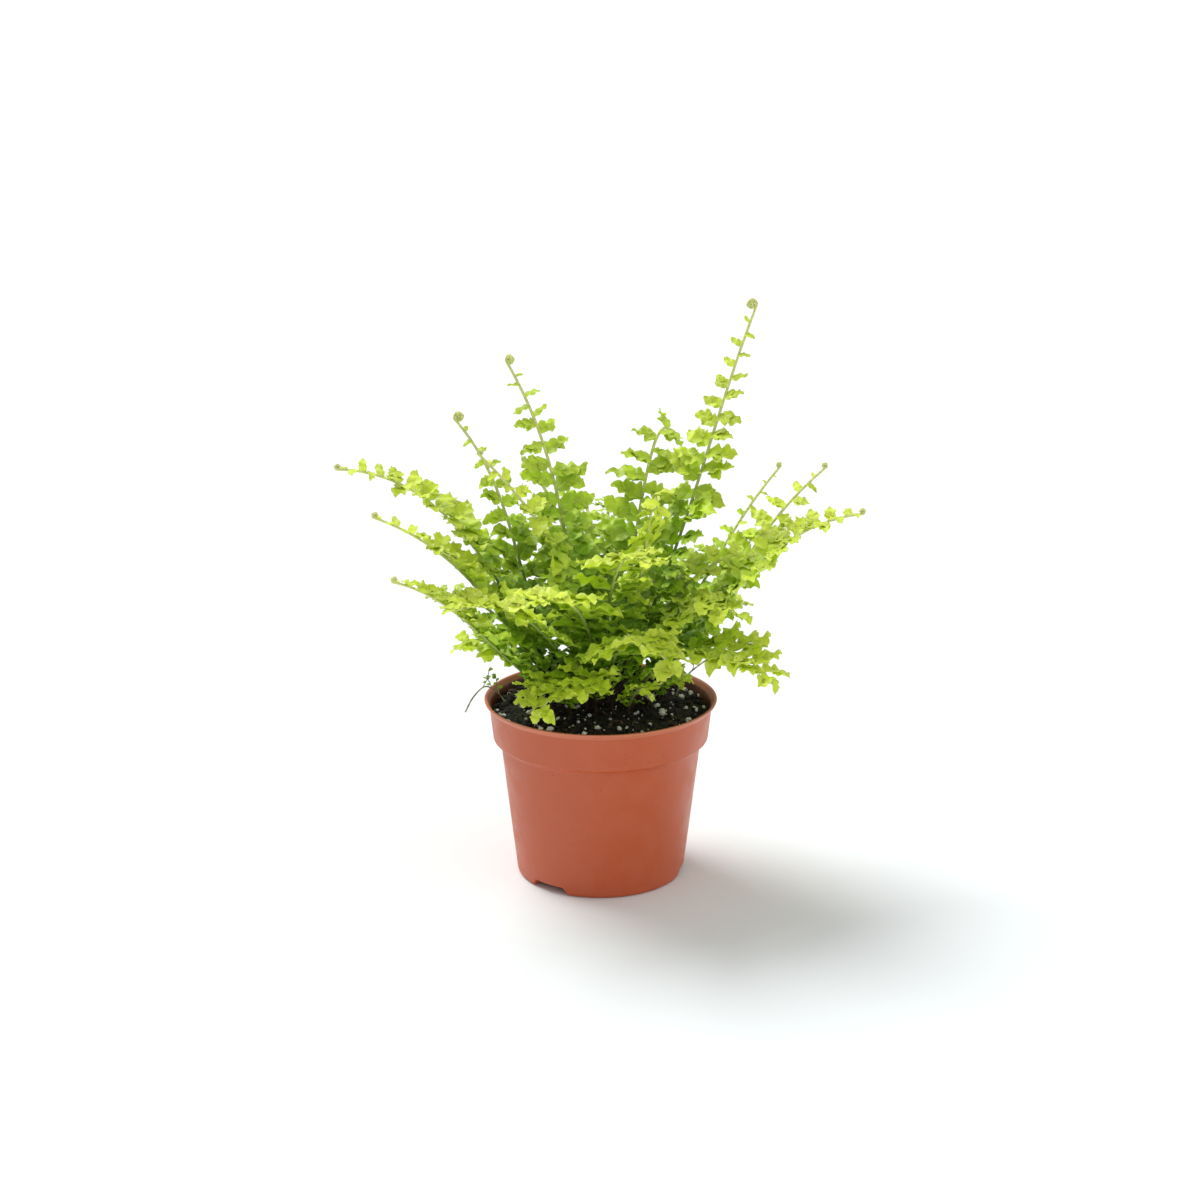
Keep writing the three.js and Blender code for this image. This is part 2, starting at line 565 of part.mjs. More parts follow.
// Joins the rib's stations into a closed three-sided strip, with leaflets let into its sides by turns.
function frondGeometry(frond, owner, stations, firstLeafy) {
  const vertices = [];
  const triangles = [];
  const add = (point) => vertices.push(point) - 1;
  const face = (a, b, c, flipped) => triangles.push(flipped ? [a, c, b] : [a, b, c]);
  const rings = stations.map(({ left, right, keel }) => {
    return { left: add(left), right: add(right), keel: add(keel) };
  });

  const bareSide = (rear, front, hand) => {
    const flipped = hand < 0;
    const [a, b] = flipped ? [rear.right, front.right] : [rear.left, front.left];
    face(rear.keel, a, b, flipped);
    face(rear.keel, b, front.keel, flipped);
  };

  const leafletSide = (rear, front, hand, leaflet) => {
    const seat = hand > 0 ? [rear.left, front.left] : [rear.right, front.right];
    const outer = leaflet.points.slice(1, -1);
    const sunk = leaflet.normal.clone().multiplyScalar(-BLADE_THICKNESS);
    const upper = [seat[0], ...outer.map(add), seat[1]];
    const lower = [rear.keel, ...outer.map((point) => add(point.clone().add(sunk))), front.keel];
    for (const [a, b, c] of leaflet.faces) {
      face(upper[a], upper[b], upper[c], hand > 0);
      face(lower[a], lower[b], lower[c], hand < 0);
    }
    for (let k = 0; k + 1 < upper.length; k += 1) {
      face(upper[k], upper[k + 1], lower[k + 1], hand < 0);
      face(upper[k], lower[k + 1], lower[k], hand < 0);
    }
  };

  for (let i = 0; i + 1 < rings.length; i += 1) {
    const [rear, front] = [rings[i], rings[i + 1]];
    face(rear.right, front.right, front.left);
    face(rear.right, front.left, rear.left);
    const seat = i - firstLeafy;
    for (const hand of [1, -1]) {
      const edge = hand > 0 ? 'left' : 'right';
      const turn = seat % 2 === 0 ? 1 : -1;
      let leaflet = null;
      if (seat >= 0 && seat < frond.pairs * 2 && hand === turn) {
        const index = owner * 100 + seat;
        const length = leafletLength(frond, seat) * lerp(0.88, 1.1, draw(index + 0.5));
        const [from, to] = [stations[i][edge], stations[i + 1][edge]];
        leaflet = clearLeaflet(from, to, stations[i].frame, hand, length, index, owner);
      }
      if (leaflet) {
        leafletSide(rear, front, hand, leaflet);
      } else {
        bareSide(rear, front, hand);
      }
    }
  }
  const first = rings[0];
  const last = rings[rings.length - 1];
  face(first.keel, first.right, first.left);
  face(last.keel, last.left, last.right);
  return geometryFrom(vertices, triangles);
}

// ---------------------------------------------------------------- runners

// A runner's course: a smooth curve from the bottom of its hole, past each of its places.
function runnerCourse(places) {
  const [x, y] = places[0];
  const top = soilHeight(x, y);
  const bottom = new THREE.Vector3(x, y, top - RUNNER.depth + SEAT_GAP);
  const mouth = new THREE.Vector3(x, y, top + 1);
  const rest = places.slice(1).map((place) => new THREE.Vector3(...place));
  return new THREE.CatmullRomCurve3([bottom, mouth, ...rest], false, 'centripetal');
}

function runnerStations(curve) {
  const reach = curve.getPoint(1).sub(curve.getPoint(0));
  const side = new THREE.Vector3(-reach.y, reach.x, 0).normalize();
  const stations = [];
  for (let i = 0; i <= RUNNER.steps; i += 1) {
    const centre = curve.getPoint(i / RUNNER.steps);
    const along = curve.getTangent(i / RUNNER.steps);
    const up = new THREE.Vector3().crossVectors(along, side).normalize();
    stations.push(edgesAt({ centre, along, side, up }, RUNNER.width));
  }
  return stations;
}

// ---------------------------------------------------------------- the whole plant

const courses = FRONDS.map(courseOf);
const built = FRONDS.map((frond, owner) => stationsOf(frond, courses[owner]));
const runnerCourses = RUNNERS.map(runnerCourse);

// The ribs and runners come first, so that every leaflet keeps clear of all of them.
courses.forEach((course, owner) => {
  const steps = Math.ceil(course.curve.getLength() / SAMPLE_STEP);
  course.curve.getSpacedPoints(steps).forEach((spot) => take(spot, owner));
  for (const station of built[owner].stations) {
    take(station.keel, owner);
  }
});
runnerCourses.forEach((curve, index) => {
  const steps = Math.ceil(curve.getLength() / SAMPLE_STEP);
  curve.getSpacedPoints(steps).forEach((spot) => take(spot, `runner ${index}`));
});

const plant = new THREE.Group();
plant.add(named('pot', pot(), COLOURS.pot));
const holes = [
  ...courses.map((course) => ({ place: course.foot, radius: STEM_HOLE.radius, depth: STEM_HOLE.depth })),
  ...runnerCourses.map((curve) => {
    return { place: curve.getPoint(0), radius: RUNNER.holeRadius, depth: RUNNER.depth };
  }),
];
plant.add(named('potting_soil', soil(holes), COLOURS.soil));
FRONDS.forEach((frond, owner) => {
  const { stations, firstLeafy } = built[owner];
  const geometry = frondGeometry(frond, owner, stations, firstLeafy);
  const name = `frond_${String(owner + 1).padStart(2, '0')}`;
  const look = frond.heading > 30 && frond.heading < 170 ? COLOURS.leafDeep : COLOURS.leafBright;
  plant.add(named(name, geometry, look));
});
const runnerSides = ['left', 'right'];
runnerCourses.forEach((curve, index) => {
  const geometry = frondGeometry({ pairs: 0 }, FRONDS.length + index, runnerStations(curve), 0);
  plant.add(named(`runner_${runnerSides[index]}`, geometry, COLOURS.runner));
});

export default plant;
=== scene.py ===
"""A young ruffled sword fern in its round grower's pot.

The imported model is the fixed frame. Each of its solids is replaced here by a finer piece that keeps the
solid's place and form: the fronds follow the same courses, the pot the same profile and the soil the same
mound. Metres, +Z up, and -Y is the plant's front.
"""

from collections import namedtuple
from functools import partial

import bpy
import numpy as np
from bpy.props import FloatProperty, FloatVectorProperty, IntProperty, PointerProperty
from bpy.types import Operator, Panel, PropertyGroup
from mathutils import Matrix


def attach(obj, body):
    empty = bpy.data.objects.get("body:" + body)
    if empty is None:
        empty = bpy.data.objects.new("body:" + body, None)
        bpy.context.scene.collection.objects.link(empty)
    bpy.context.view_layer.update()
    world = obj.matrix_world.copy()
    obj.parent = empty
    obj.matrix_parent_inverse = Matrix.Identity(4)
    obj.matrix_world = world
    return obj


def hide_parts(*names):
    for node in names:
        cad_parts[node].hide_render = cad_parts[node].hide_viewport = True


bl_info = {
    "name": "Potted fern",
    "version": (1, 0, 0),
    "blender": (4, 5, 0),
    "location": "View3D > Sidebar > Fern",
    "description": "Builds a young ruffled fern in a grower's pot on its packed frame",
    "category": "Object",
}

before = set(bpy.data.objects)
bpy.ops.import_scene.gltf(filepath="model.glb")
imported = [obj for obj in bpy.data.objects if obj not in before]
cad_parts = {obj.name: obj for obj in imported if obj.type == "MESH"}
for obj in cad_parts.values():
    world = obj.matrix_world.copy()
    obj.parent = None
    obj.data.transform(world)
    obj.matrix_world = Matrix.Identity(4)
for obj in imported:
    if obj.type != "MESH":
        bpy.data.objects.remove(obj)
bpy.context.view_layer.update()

MM = 0.001

# Each frond's course, as in the part's source: direction seen from above, distance of foot and tip from the
# pot's axis, height of the tip, lean at the foot, slope at the tip, sideways swing, turn of the blade towards
# the front, longest leaflet, how far from the tip that length is reached, and pairs of leaflets. Millimetres,
# degrees and shares.
Frond = namedtuple("Frond", "heading root reach height lean tip sway face leaf full pairs")
COURSES = (
    (11, 5, 79, 294, 28, 71, 7, 52, 19, 0.55, 17),
    (144, 6, 59, 262, 11, 50, 3, 50, 18, 0.5, 15),
    (168, 12, 75, 236, 34, 48, 0, 45, 16, 0.5, 13),
    (194, 6, 62, 225, 0, 46, 0, 42, 18, 0.4, 11),
    (128, 12, 66, 207, 5, 32, -5, 45, 17, 0.45, 10),
    (53, 8, 63, 220, 13, -48, -7, 50, 19, 0.35, 11),
    (102, 12, 77, 182, 9, -23, -8, 20, 14, 0.4, 8),
    (285, 5, 80, 186, 15, -10, -5, 0, 20, 0.3, 10),
    (313, 10, 40, 198, 15, -75, 10, 15, 15, 0.4, 9),
    (184, 17, 131, 216, 29, 3, -3, 14, 18, 0.4, 15),
    (200, 18, 117, 199, 37, 23, 6, 16, 17, 0.42, 13),
    (211, 20, 116, 172, 51, 21, -8, 14, 17, 0.4, 12),
    (224, 13, 98, 160, 20, -5, 0, 10, 20, 0.28, 11),
    (34, 20, 115, 201, 44, 38, -2, 34, 10, 0.6, 9),
    (17, 17, 122, 207, 50, 35, -3, 36, 16, 0.32, 12),
    (353, 17, 131, 195, 45, 7, -6, 12, 19, 0.36, 14),
    (2, 11, 86, 168, 20, -15, 3, 15, 16, 0.3, 8),
    (335, 12, 77, 146, 18, -35, 0, 12, 19, 0.3, 9),
    (246, 11, 94, 167, 5, -10, 12, 0, 20, 0.25, 10),
    (293, 15, 87, 136, 5, -50, -12, 0, 20, 0.25, 9),
    (328, 19, 98, 119, 10, -50, 6, 14, 20, 0.12, 11),
    (244, 16, 68, 106, 0, -60, 5, 0, 17, 0.08, 6),
    (262, 18, 58, 114, 5, -45, 0, 0, 14, 0.1, 6),
    (70, 18, 91, 162, 30, -10, 4, 0, 15, 0.4, 7),
    (88, 6, 84, 178, 15, -10, -4, 0, 15, 0.4, 7),
    (115, 18, 94, 148, 32, -20, 3, 0, 15, 0.4, 7),
    (138, 20, 105, 162, 38, 5, -4, 10, 15, 0.45, 7),
    (48, 15, 92, 152, 25, -15, 0, 10, 15, 0.4, 7),
    (96, 23, 87, 118, 30, -50, 0, 0, 15, 0.35, 7),
    (156, 20, 98, 136, 36, -25, 4, 10, 15, 0.4, 7),
    (27, 24, 86, 132, 34, -30, 0, 10, 14, 0.4, 6),
    (190, 24, 74, 124, 40, -45, 0, 10, 14, 0.2, 6),
    (236, 27, 58, 110, 5, -55, 0, 10, 15, 0.2, 6),
    (8, 30, 46, 102, 0, -70, 0, 20, 11, 0.25, 4),
    (304, 25, 44, 107, 0, -60, 0, 0, 10, 0.25, 5),
    (74, 30, 62, 112, 10, -40, 0, 0, 11, 0.35, 5),
)
FRONDS = [Frond(*row) for row in COURSES]
HANDLE_FOOT, HANDLE_TIP = 0.42, 0.34
# Where a frond's leaflets start, and where they end on most fronds and on those that are leafy to the tip.
LEAFY_FIRST, LEAFY_LAST, LEAFY_END = 0.22, 0.97, 0.995

# Slopes at the tip that part the fronds: above the first the tip rolls into a large coil, above the second a
# frond counts as upright, and below that a rising one arches and a falling one droops.
COILING_SLOPE, UPRIGHT_SLOPE = 46, 30

# The rolled tips: radius, turns, share by which the radius closes, and half-width and half-depth of the roll.
Roll = namedtuple("Roll", "radius turns closing width depth")
COIL = Roll(2.6, 1.9, 0.8, 1.3, 0.75)
SMALL_COIL = Roll(1.35, 1.6, 0.7, 0.9, 0.6)
HOOK = Roll(0.9, 0.5, 0.3, 0.6, 0.4)

# A rib's half-width at its foot and tip in mm, its depth as a share of that, the depth at which its coil
# starts, how far its end goes down into the soil, and its sides.
RIB_FOOT, RIB_TIP, RIB_FLATNESS, COIL_DEPTH, RIB_BURIED, RIB_SIDES = 0.92, 0.76, 0.85, 0.65, 6.0, 8

# The places that each dry runner passes: its mouth in the soil first (x, y), then points in the air.
RUNNERS = {
    "left": [(-50, 5), (-54, 5, 95), (-60, 4, 98), (-66, 1, 93), (-70, -2, 86)],
    "right": [(40, 16), (45, 18, 99), (51, 20, 104), (58, 23, 108)],
}
# The side threads of a runner: the ring of the runner where one leaves it, and how far it reaches, in mm.
TWIGS = ((22, (-3, -6, 9)), (30, (4, -4, 12)), (16, (-2, 3, 10)))
RUNNER_RADIUS, TWIG_RADIUS, THREAD_SIDES = 0.42, 0.22, 6

SOIL_EDGE, SOIL_MOUND, SOIL_RADIUS = 88.0, 3.5, 55.0
# The mix below its top, [radius, height] in mm, across the pot's floor and up its inner wall. Its top goes
# from the outer to the inner radius, and a last ring closes it.
SOIL_SIDE = [(0.5, 6.7), (20, 6.7), (41.6, 6.7), (49.7, 73.2), (53.4, 75.4), (55.3, 86.6)]
SOIL_TOP_OUTER, SOIL_TOP_INNER, SOIL_TOP_END, SOIL_RAYS = 55.75, 1.2, 0.4, 200
GOLDEN_ANGLE = 2.39996
# Clods: height and grid of each soft noise in mm, and its seed.
CLODS = ((0.8, 11, 1), (0.55, 4.5, 2), (0.35, 1.9, 3))

# Loose grains: their piece, the setting that counts them, seed, least and most radius in mm, stretch, darker
# and lighter colour, share of the radius by which their middle is raised, and unevenness of tone.
Grains = namedtuple("Grains", "name setting seed sizes stretch dark light raised uneven")
CRUMB, CRUMB_LIGHT = (0.004, 0.003, 0.002), (0.035, 0.022, 0.013)
PERLITE, PERLITE_LIGHT = (0.92, 0.91, 0.87), (0.98, 0.97, 0.95)
BARK, BARK_LIGHT = (0.035, 0.018, 0.010), (0.17, 0.095, 0.05)
GRAINS = (
    Grains("soil_crumbs", "crumbs", 300, (0.4, 2.0), (1.2, 1, 0.8), CRUMB, CRUMB_LIGHT, 0.25, 0.9),
    Grains("perlite_grains", "perlite", 4100, (0.4, 1.7), (1.2, 1, 0.85), PERLITE, PERLITE_LIGHT, 0.6, 0.25),
    Grains("bark_bits", "bark", 7700, (0.7, 1.7), (2.4, 0.9, 0.35), BARK, BARK_LIGHT, 0.45, 0.9),
)

# The pot's wall, [radius, height, corner radius] in mm, up the outside, over the lip and down the inside.
POT_OUTSIDE = [(39.9, 0, 0.4), (42.5, 0, 1.2), (43.7, 1.2, 2), (51.8, 71.5, 1.8), (55.5, 73.3, 0.6)]
POT_COLLAR = [(57.5, 91.2, 1.4), (59.7, 92.8, 0.6), (60, 94, 0.35), (58.6, 94, 0.5), (56.6, 91.2, 1.5)]
POT_INSIDE = [(54.1, 74.3, 1.2), (50.4, 72.5, 1.5), (42.3, 6.2, 0.6), (38.9, 6.2, 0.3), (38.9, 5, 0.2)]
CORNER_STEPS = 4
# Further rings up the body's wall, closer together low down, where the notches bend it: radius and height of
# the lowest and of the place that the shares count to, and the share of each ring.
BODY_LOW, BODY_HIGH = np.array([43.91, 3.0]), np.array([51.05, 65.0])
BODY_RINGS = np.array([0.0, 0.03, 0.07, 0.12, 0.2, 0.4, 0.6, 0.8])
# The pot's height, the outer wall's slope and the radius from which it counts, and the foot's radius. The lip
# is lighter above a height and outside a radius.
POT_HEIGHT, WALL_SLOPE, WALL_FROM, FOOT_RADIUS = 94.0, 0.114, 42.4, 43.7
PALE_LIP_HEIGHT, PALE_LIP_RADIUS = 91.0, 56.2
# The foot's notches: headings, half-width, width and height of their slopes, and how far from a notch's
# middle more rays stand.
NOTCH_ANGLES = (232.0, 352.0, 112.0)
NOTCH_HALF, NOTCH_SLOPE, NOTCH_HEIGHT = 12.0, 3.5, 3.6
NOTCH_RAYS = np.linspace(7.5, 13, 12)
DRAIN_RING, DRAIN_RADIUS, DRAIN_STEPS = 24.0, 5.0, 48
FLOOR_LOW, FLOOR_TOP, FLOOR_RADIUS = 5.0, 6.4, 39.6

# The wide light from the right: how wide it is, its tilt from overhead and where it shines to, in degrees.
# Then how bright the air is behind the floor, and the camera's sensor in mm and place along x in metres.
SIDE_LIGHT = (100, 62, 150)
SEEN_WHITE, SENSOR_WIDTH, CAMERA_SIDE = 1.05, 36.0, -0.0003

# The colour that veins and edges go half way to, and the colours of the pot's marks, lip and
# specks, of the soil and painted shade on its inner wall, and of the moss.
PALE_LEAF = (0.80, 0.88, 0.26)
RUBBED, PALE_LIP = (0.85, 0.5, 0.36, 1), (0.78, 0.36, 0.22, 1)
SPECK, SOIL_AND_SHADE = (0.12, 0.05, 0.03, 1), (0.07, 0.022, 0.014, 1)
MOSS = (0.03, 0.05, 0.012, 1)


# ---- numbers and curves


def draw(index):
    """A repeatable number from 0 to 1 for each index: the fraction of a large multiple of its sine."""
    wave = np.sin(np.asarray(index, dtype=float) * 127.1 + 311.7) * 43758.5453
    return wave - np.floor(wave)


def lerp(low, high, share):
    """The value that lies the given share of the way from low to high."""
    return low + (high - low) * share


def smooth(low, high, value):
    """A soft step: 0 below low, 1 above high, and 3t^2 - 2t^3 between them."""
    t = np.clip((value - low) / (high - low), 0, 1)
    return t * t * (3 - 2 * t)


def unit(vectors):
    """Each vector over its length."""
    return vectors / np.maximum(np.linalg.norm(vectors, axis=-1, keepdims=True), 1e-12)


def turn(vectors, axes, angles):
    """Each vector turned about its unit axis: v cos a + (k x v) sin a + k (k . v) (1 - cos a)."""
    c, s = np.cos(angles)[..., None], np.sin(angles)[..., None]
    dot = np.sum(axes * vectors, axis=-1, keepdims=True)
    return vectors * c + np.cross(axes, vectors) * s + axes * dot * (1 - c)


def lattice(x, y, size, seed):
    """Soft noise from -1 to 1: a number drawn for each corner of a square grid, blended by 3t^2 - 2t^3."""
    gx, gy = x / size, y / size
    ix, iy = np.floor(gx), np.floor(gy)
    fx, fy = smooth(0, 1, gx - ix), smooth(0, 1, gy - iy)
    corner = lambda dx, dy: draw((ix + dx) * 1.37 + (iy + dy) * 91.7 + seed * 13.1)
    low = lerp(corner(0, 0), corner(1, 0), fx)
    high = lerp(corner(0, 1), corner(1, 1), fx)
    return lerp(low, high, fy) * 2 - 1


def soil_height(x, y):
    """The mound's height: highest on the axis and falling with the square of the distance from it."""
    share = np.minimum(1, np.hypot(x, y) / SOIL_RADIUS)
    return SOIL_EDGE + SOIL_MOUND * (1 - share * share)


def soil_relief(x, y):
    """The mound with clods on it: soft noise of 11, 4.5 and 1.9 mm grids, lower by the pot's wall."""
    clods = sum(height * lattice(x, y, grid, seed) for height, grid, seed in CLODS)
    return soil_height(x, y) + clods - 0.5 * smooth(49, 56, np.hypot(x, y))


class Course:
    """A frond's rib: a cubic curve from its foot to its tip, measured by its length."""

    def __init__(self, frond):
        heading = np.radians(frond.heading)
        out = np.array([np.cos(heading), np.sin(heading), 0])
        self.side = np.array([-np.sin(heading), np.cos(heading), 0])
        up = np.array([0, 0, 1.0])
        foot = out * frond.root
        foot[2] = soil_height(foot[0], foot[1]) + 1
        tip = out * frond.reach + up * frond.height
        span = np.linalg.norm(tip - foot)
        lean, slope = np.radians(frond.lean), np.radians(frond.tip)
        leaving = out * np.sin(lean) + up * np.cos(lean)
        arriving = out * np.cos(slope) + up * np.sin(slope)
        first = foot + leaving * HANDLE_FOOT * span + self.side * frond.sway * 0.6
        second = tip - arriving * HANDLE_TIP * span + self.side * frond.sway
        self.corners = np.stack([foot, first, second, tip])
        self.face = np.radians(frond.face) * np.sign(np.cos(heading))
        self.times = np.linspace(0, 1, 401)
        steps = np.linalg.norm(np.diff(self.points(self.times), axis=0), axis=1)
        self.lengths = np.concatenate([[0], np.cumsum(steps)])

    def points(self, t):
        """The four corners weighted by (1-t)^3, 3t(1-t)^2, 3t^2(1-t) and t^3."""
        weights = np.stack([(1 - t) ** 3, 3 * t * (1 - t) ** 2, 3 * t * t * (1 - t), t**3], axis=-1)
        return weights @ self.corners

    def slopes(self, t):
        """The curve's direction: its corners' differences weighted by (1-t)^2, 2t(1-t) and t^2."""
        weights = np.stack([(1 - t) ** 2, 2 * t * (1 - t), t * t], axis=-1)
        return unit(weights @ np.diff(self.corners, axis=0))

    def frames(self, shares):
        """Centre, direction, left side and upper face at each share of the length. The side is level at the
        foot and turned about the rib by the blade's own turn as it goes up."""
        t = np.interp(np.asarray(shares) * self.lengths[-1], self.lengths, self.times)
        centre, along = self.points(t), self.slopes(t)
        side = unit(self.side - along * (along @ self.side)[:, None])
        shares = np.asarray(shares)
        side = turn(side, along, self.face * shares * (1 - 0.9 * smooth(0.9, 1.0, shares)))
        return centre, along, side, np.cross(along, side)


# ---- meshes


class Mesh:
    """Patches of points gathered for one object, with their quads, UVs, values and material slots."""

    def __init__(self):
        self.points, self.quads, self.uv, self.slots = [], [], [], []
        self.values = {}
        self.count = 0

    def add(self, points, quads, slot=0, uv=None, **values):
        """Adds a patch: its quads count from its own first point."""
        points = points.reshape(-1, 3)
        self.points.append(points)
        self.quads.append(quads + self.count)
        self.uv.append(np.zeros((len(points), 2)) if uv is None else uv.reshape(-1, 2))
        self.slots.append(np.full(len(quads), slot, dtype=np.int32))
        for name, value in values.items():
            flat = np.broadcast_to(value, (len(points),)) if np.ndim(value) == 0 else np.ravel(value)
            self.values.setdefault(name, []).append((self.count, flat))
        self.count += len(points)

    def build(self, name, materials, sharp=50):
        """Puts the gathered patches into a mesh, from mm to metres, and shades it smooth, with edges over the
        given angle left sharp."""
        points = np.concatenate(self.points) * MM
        quads = np.concatenate(self.quads).astype(np.int32)
        mesh = bpy.data.meshes.new(name)
        mesh.vertices.add(len(points))
        mesh.vertices.foreach_set("co", points.astype(np.float32).ravel())
        mesh.loops.add(quads.size)
        mesh.loops.foreach_set("vertex_index", quads.ravel())
        mesh.polygons.add(len(quads))
        mesh.polygons.foreach_set("loop_start", np.arange(0, quads.size, 4, dtype=np.int32))
        mesh.polygons.foreach_set("material_index", np.concatenate(self.slots))
        mesh.update(calc_edges=True)
        layer = mesh.uv_layers.new(name="Blade")
        layer.uv.foreach_set("vector", np.concatenate(self.uv)[quads.ravel()].astype(np.float32).ravel())
        for key, parts in self.values.items():
            whole = np.zeros(len(points), dtype=np.float32)
            for start, flat in parts:
                whole[start : start + len(flat)] = flat
            mesh.attributes.new(key, "FLOAT", "POINT").data.foreach_set("value", whole)
        for material in materials:
            mesh.materials.append(material)
        mesh.validate()
        mesh.shade_smooth()
        mesh.set_sharp_from_angle(angle=np.radians(sharp))
        piece = bpy.data.objects.new(name, mesh)
        bpy.context.collection.objects.link(piece)
        return piece


def grid_quads(rows, columns, wrapped=False):
    """Quads between neighbouring rows and columns of a grid of points, the last column joined to the first
    where it is wrapped."""
    spans = columns if wrapped else columns - 1
    row, column = np.meshgrid(np.arange(rows - 1), np.arange(spans), indexing="ij")
    after = (column + 1) % columns
    corners = [row * columns + column, row * columns + after]
    corners += [(row + 1) * columns + after, (row + 1) * columns + column]
    return np.stack(corners, axis=-1).reshape(-1, 4)


def tube_quads(rows, sides):
    """Quads of a closed tube with an even number of sides: its wall, and each end as a ladder of quads."""
    rungs = np.arange(sides // 2 - 1)
    first = np.stack([(sides - rungs) % sides, rungs + 1, rungs + 2, sides - 1 - rungs], axis=-1) % sides
    last = first + (rows - 1) * sides
    return np.concatenate([grid_quads(rows, sides, wrapped=True), first[:, ::-1], last])


def many(quads, count, points_each):
    """The same quads for each of a row of patches that have the same number of points."""
    return (quads[None] + (np.arange(count) * points_each)[:, None, None]).reshape(-1, 4)


def tube(centre, side, up, width, depth, sides=8):
    """A tube's points: an ellipse of the given half-width and half-depth round each centre."""
    angle = np.arange(sides) * 2 * np.pi / sides
    across = np.cos(angle)[None, :, None] * (side * np.reshape(width, (-1, 1)))[:, None]
    raised = np.sin(angle)[None, :, None] * (up * np.reshape(depth, (-1, 1)))[:, None]
    return centre[:, None] + across + raised


def thread(points, radius, steps):
    """A smooth thin tube past the given places: a cubic through them, its side kept level."""
    places = np.array(points, dtype=float)
    spots = np.linspace(0, len(places) - 1, steps)
    index = np.clip(np.floor(spots).astype(int), 0, len(places) - 2)
    t = (spots - index)[:, None]
    padded = np.concatenate([places[:1] * 2 - places[1:2], places, places[-1:] * 2 - places[-2:-1]])
    a, b, c, d = (padded[index + k] for k in range(4))
    centre = 0.5 * (2 * b + (c - a) * t + (2 * a - 5 * b + 4 * c - d) * t**2 + (3 * b - a - 3 * c + d) * t**3)
    along = unit(np.gradient(centre, axis=0))
    reach = places[-1] - places[0]
    level = unit(np.array([-reach[1], reach[0], 1e-3]))
    side = unit(level - along * (along @ level)[:, None])
    up = np.cross(along, side)
    return centre, along, side, up, tube(centre, side, up, radius, radius, THREAD_SIDES)


def blobs(centres, sizes, stretch, seed, rows=5, sides=6, roughness=0.28):
    """Rough grains: round grids, each point pushed in or out by its own drawn number, then stretched and
    turned. The poles are closed by ladders of quads."""
    count = len(centres)
    polar = lerp(0.35, np.pi - 0.35, np.linspace(0, 1, rows))[:, None]
    round_ = (np.arange(sides) * 2 * np.pi / sides)[None]
    shape = np.stack([np.sin(polar) * np.cos(round_), np.sin(polar) * np.sin(round_)], axis=-1)
    shape = np.concatenate([shape, np.broadcast_to(-np.cos(polar), (rows, sides))[..., None]], axis=-1)
    number = np.arange(count)[:, None, None] * 57.3 + np.arange(rows * sides).reshape(1, rows, sides)
    points = shape[None] * (1 + roughness * (draw(number + seed) * 2 - 1))[..., None]
    points = points * (np.asarray(stretch) * np.asarray(sizes)[:, None])[:, None, None]
    for axis in (np.array([0, 0, 1.0]), np.array([1.0, 0, 0]), np.array([0, 0, 1.0])):
        angle = draw(np.arange(count) + seed + axis[0] * 31 + 7) * 2 * np.pi
        angle = np.broadcast_to(angle[:, None, None], points.shape[:3])
        points = turn(points, np.broadcast_to(axis, points.shape), angle)
    return points + centres[:, None, None], many(tube_quads(rows, sides), count, rows * sides)


def hand_in(piece, slot, *nodes):
    """Rides the piece on the plant's one body and lets it stand for its nodes. The slot is not used."""
    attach(piece, "root")
    if nodes:
        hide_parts(*nodes)


# ---- shader nodes


def feed(made, inputs):
    """Gives a node its inputs by name or number: a (node, output) pair is linked, anything else is set."""
    for key, value in inputs.items():
        if isinstance(value, tuple) and isinstance(value[0], bpy.types.Node):
            made.id_data.links.new(value[0].outputs[value[1]], made.inputs[key])
        else:
            made.inputs[key].default_value = value
    return made


def node(tree, kind, inputs=None, **settings):
    """A new node with the given properties and inputs."""
    made = tree.nodes.new(kind)
    for key, value in settings.items():
        setattr(made, key, value)
    return feed(made, inputs or {})


def group(name, inputs, outputs):
    """A new node group whose sockets hold numbers, or a colour where they are named so: its inputs with their
    defaults, and its outputs."""
    tree = bpy.data.node_groups.new(name, "ShaderNodeTree")
    kind = lambda label: "NodeSocketColor" if label == "Color" else "NodeSocketFloat"
    for label, default in inputs.items():
        socket = tree.interface.new_socket(label, in_out="INPUT", socket_type=kind(label))
        socket.default_value = default
    for label in outputs:
        tree.interface.new_socket(label, in_out="OUTPUT", socket_type=kind(label))
    return tree, tree.nodes.new("NodeGroupInput"), tree.nodes.new("NodeGroupOutput")


def use(tree, name, **values):
    """A node that places a group, with its own values."""
    return node(tree, "ShaderNodeGroup", values, node_tree=bpy.data.node_groups[name])


def own(tree, name):
    """The piece's own value of that name, as a socket pair."""
    return node(tree, "ShaderNodeAttribute", attribute_name=name), "Fac"


def mixed(factor, first, second):
    """A colour mix by a factor's socket pair. Each colour is a pair or a plain value."""
    return node(factor[0].id_data, "ShaderNodeMix", {0: factor, 6: first, 7: second}, data_type="RGBA"), 2


def scaled(source, factor):
    """A colour times a factor, both socket pairs."""
    inputs = {0: source, "Scale": factor}
    return node(source[0].id_data, "ShaderNodeVectorMath", inputs, operation="SCALE"), 0


def ranged(source, low, high, to_low, to_high, kind="SMOOTHSTEP"):
    """A value mapped from one range to another."""
    inputs = {"Value": source, "From Min": low, "From Max": high, "To Min": to_low, "To Max": to_high}
    return node(source[0].id_data, "ShaderNodeMapRange", inputs, interpolation_type=kind), 0


def reckon(operation, first, *second):
    """One step of arithmetic on a socket pair, with a pair or a number where it takes a second one."""
    inputs = dict(enumerate((first, *second)))
    return node(first[0].id_data, "ShaderNodeMath", inputs, operation=operation), 0


times, plus, minus = (partial(reckon, operation) for operation in ("MULTIPLY", "ADD", "SUBTRACT"))


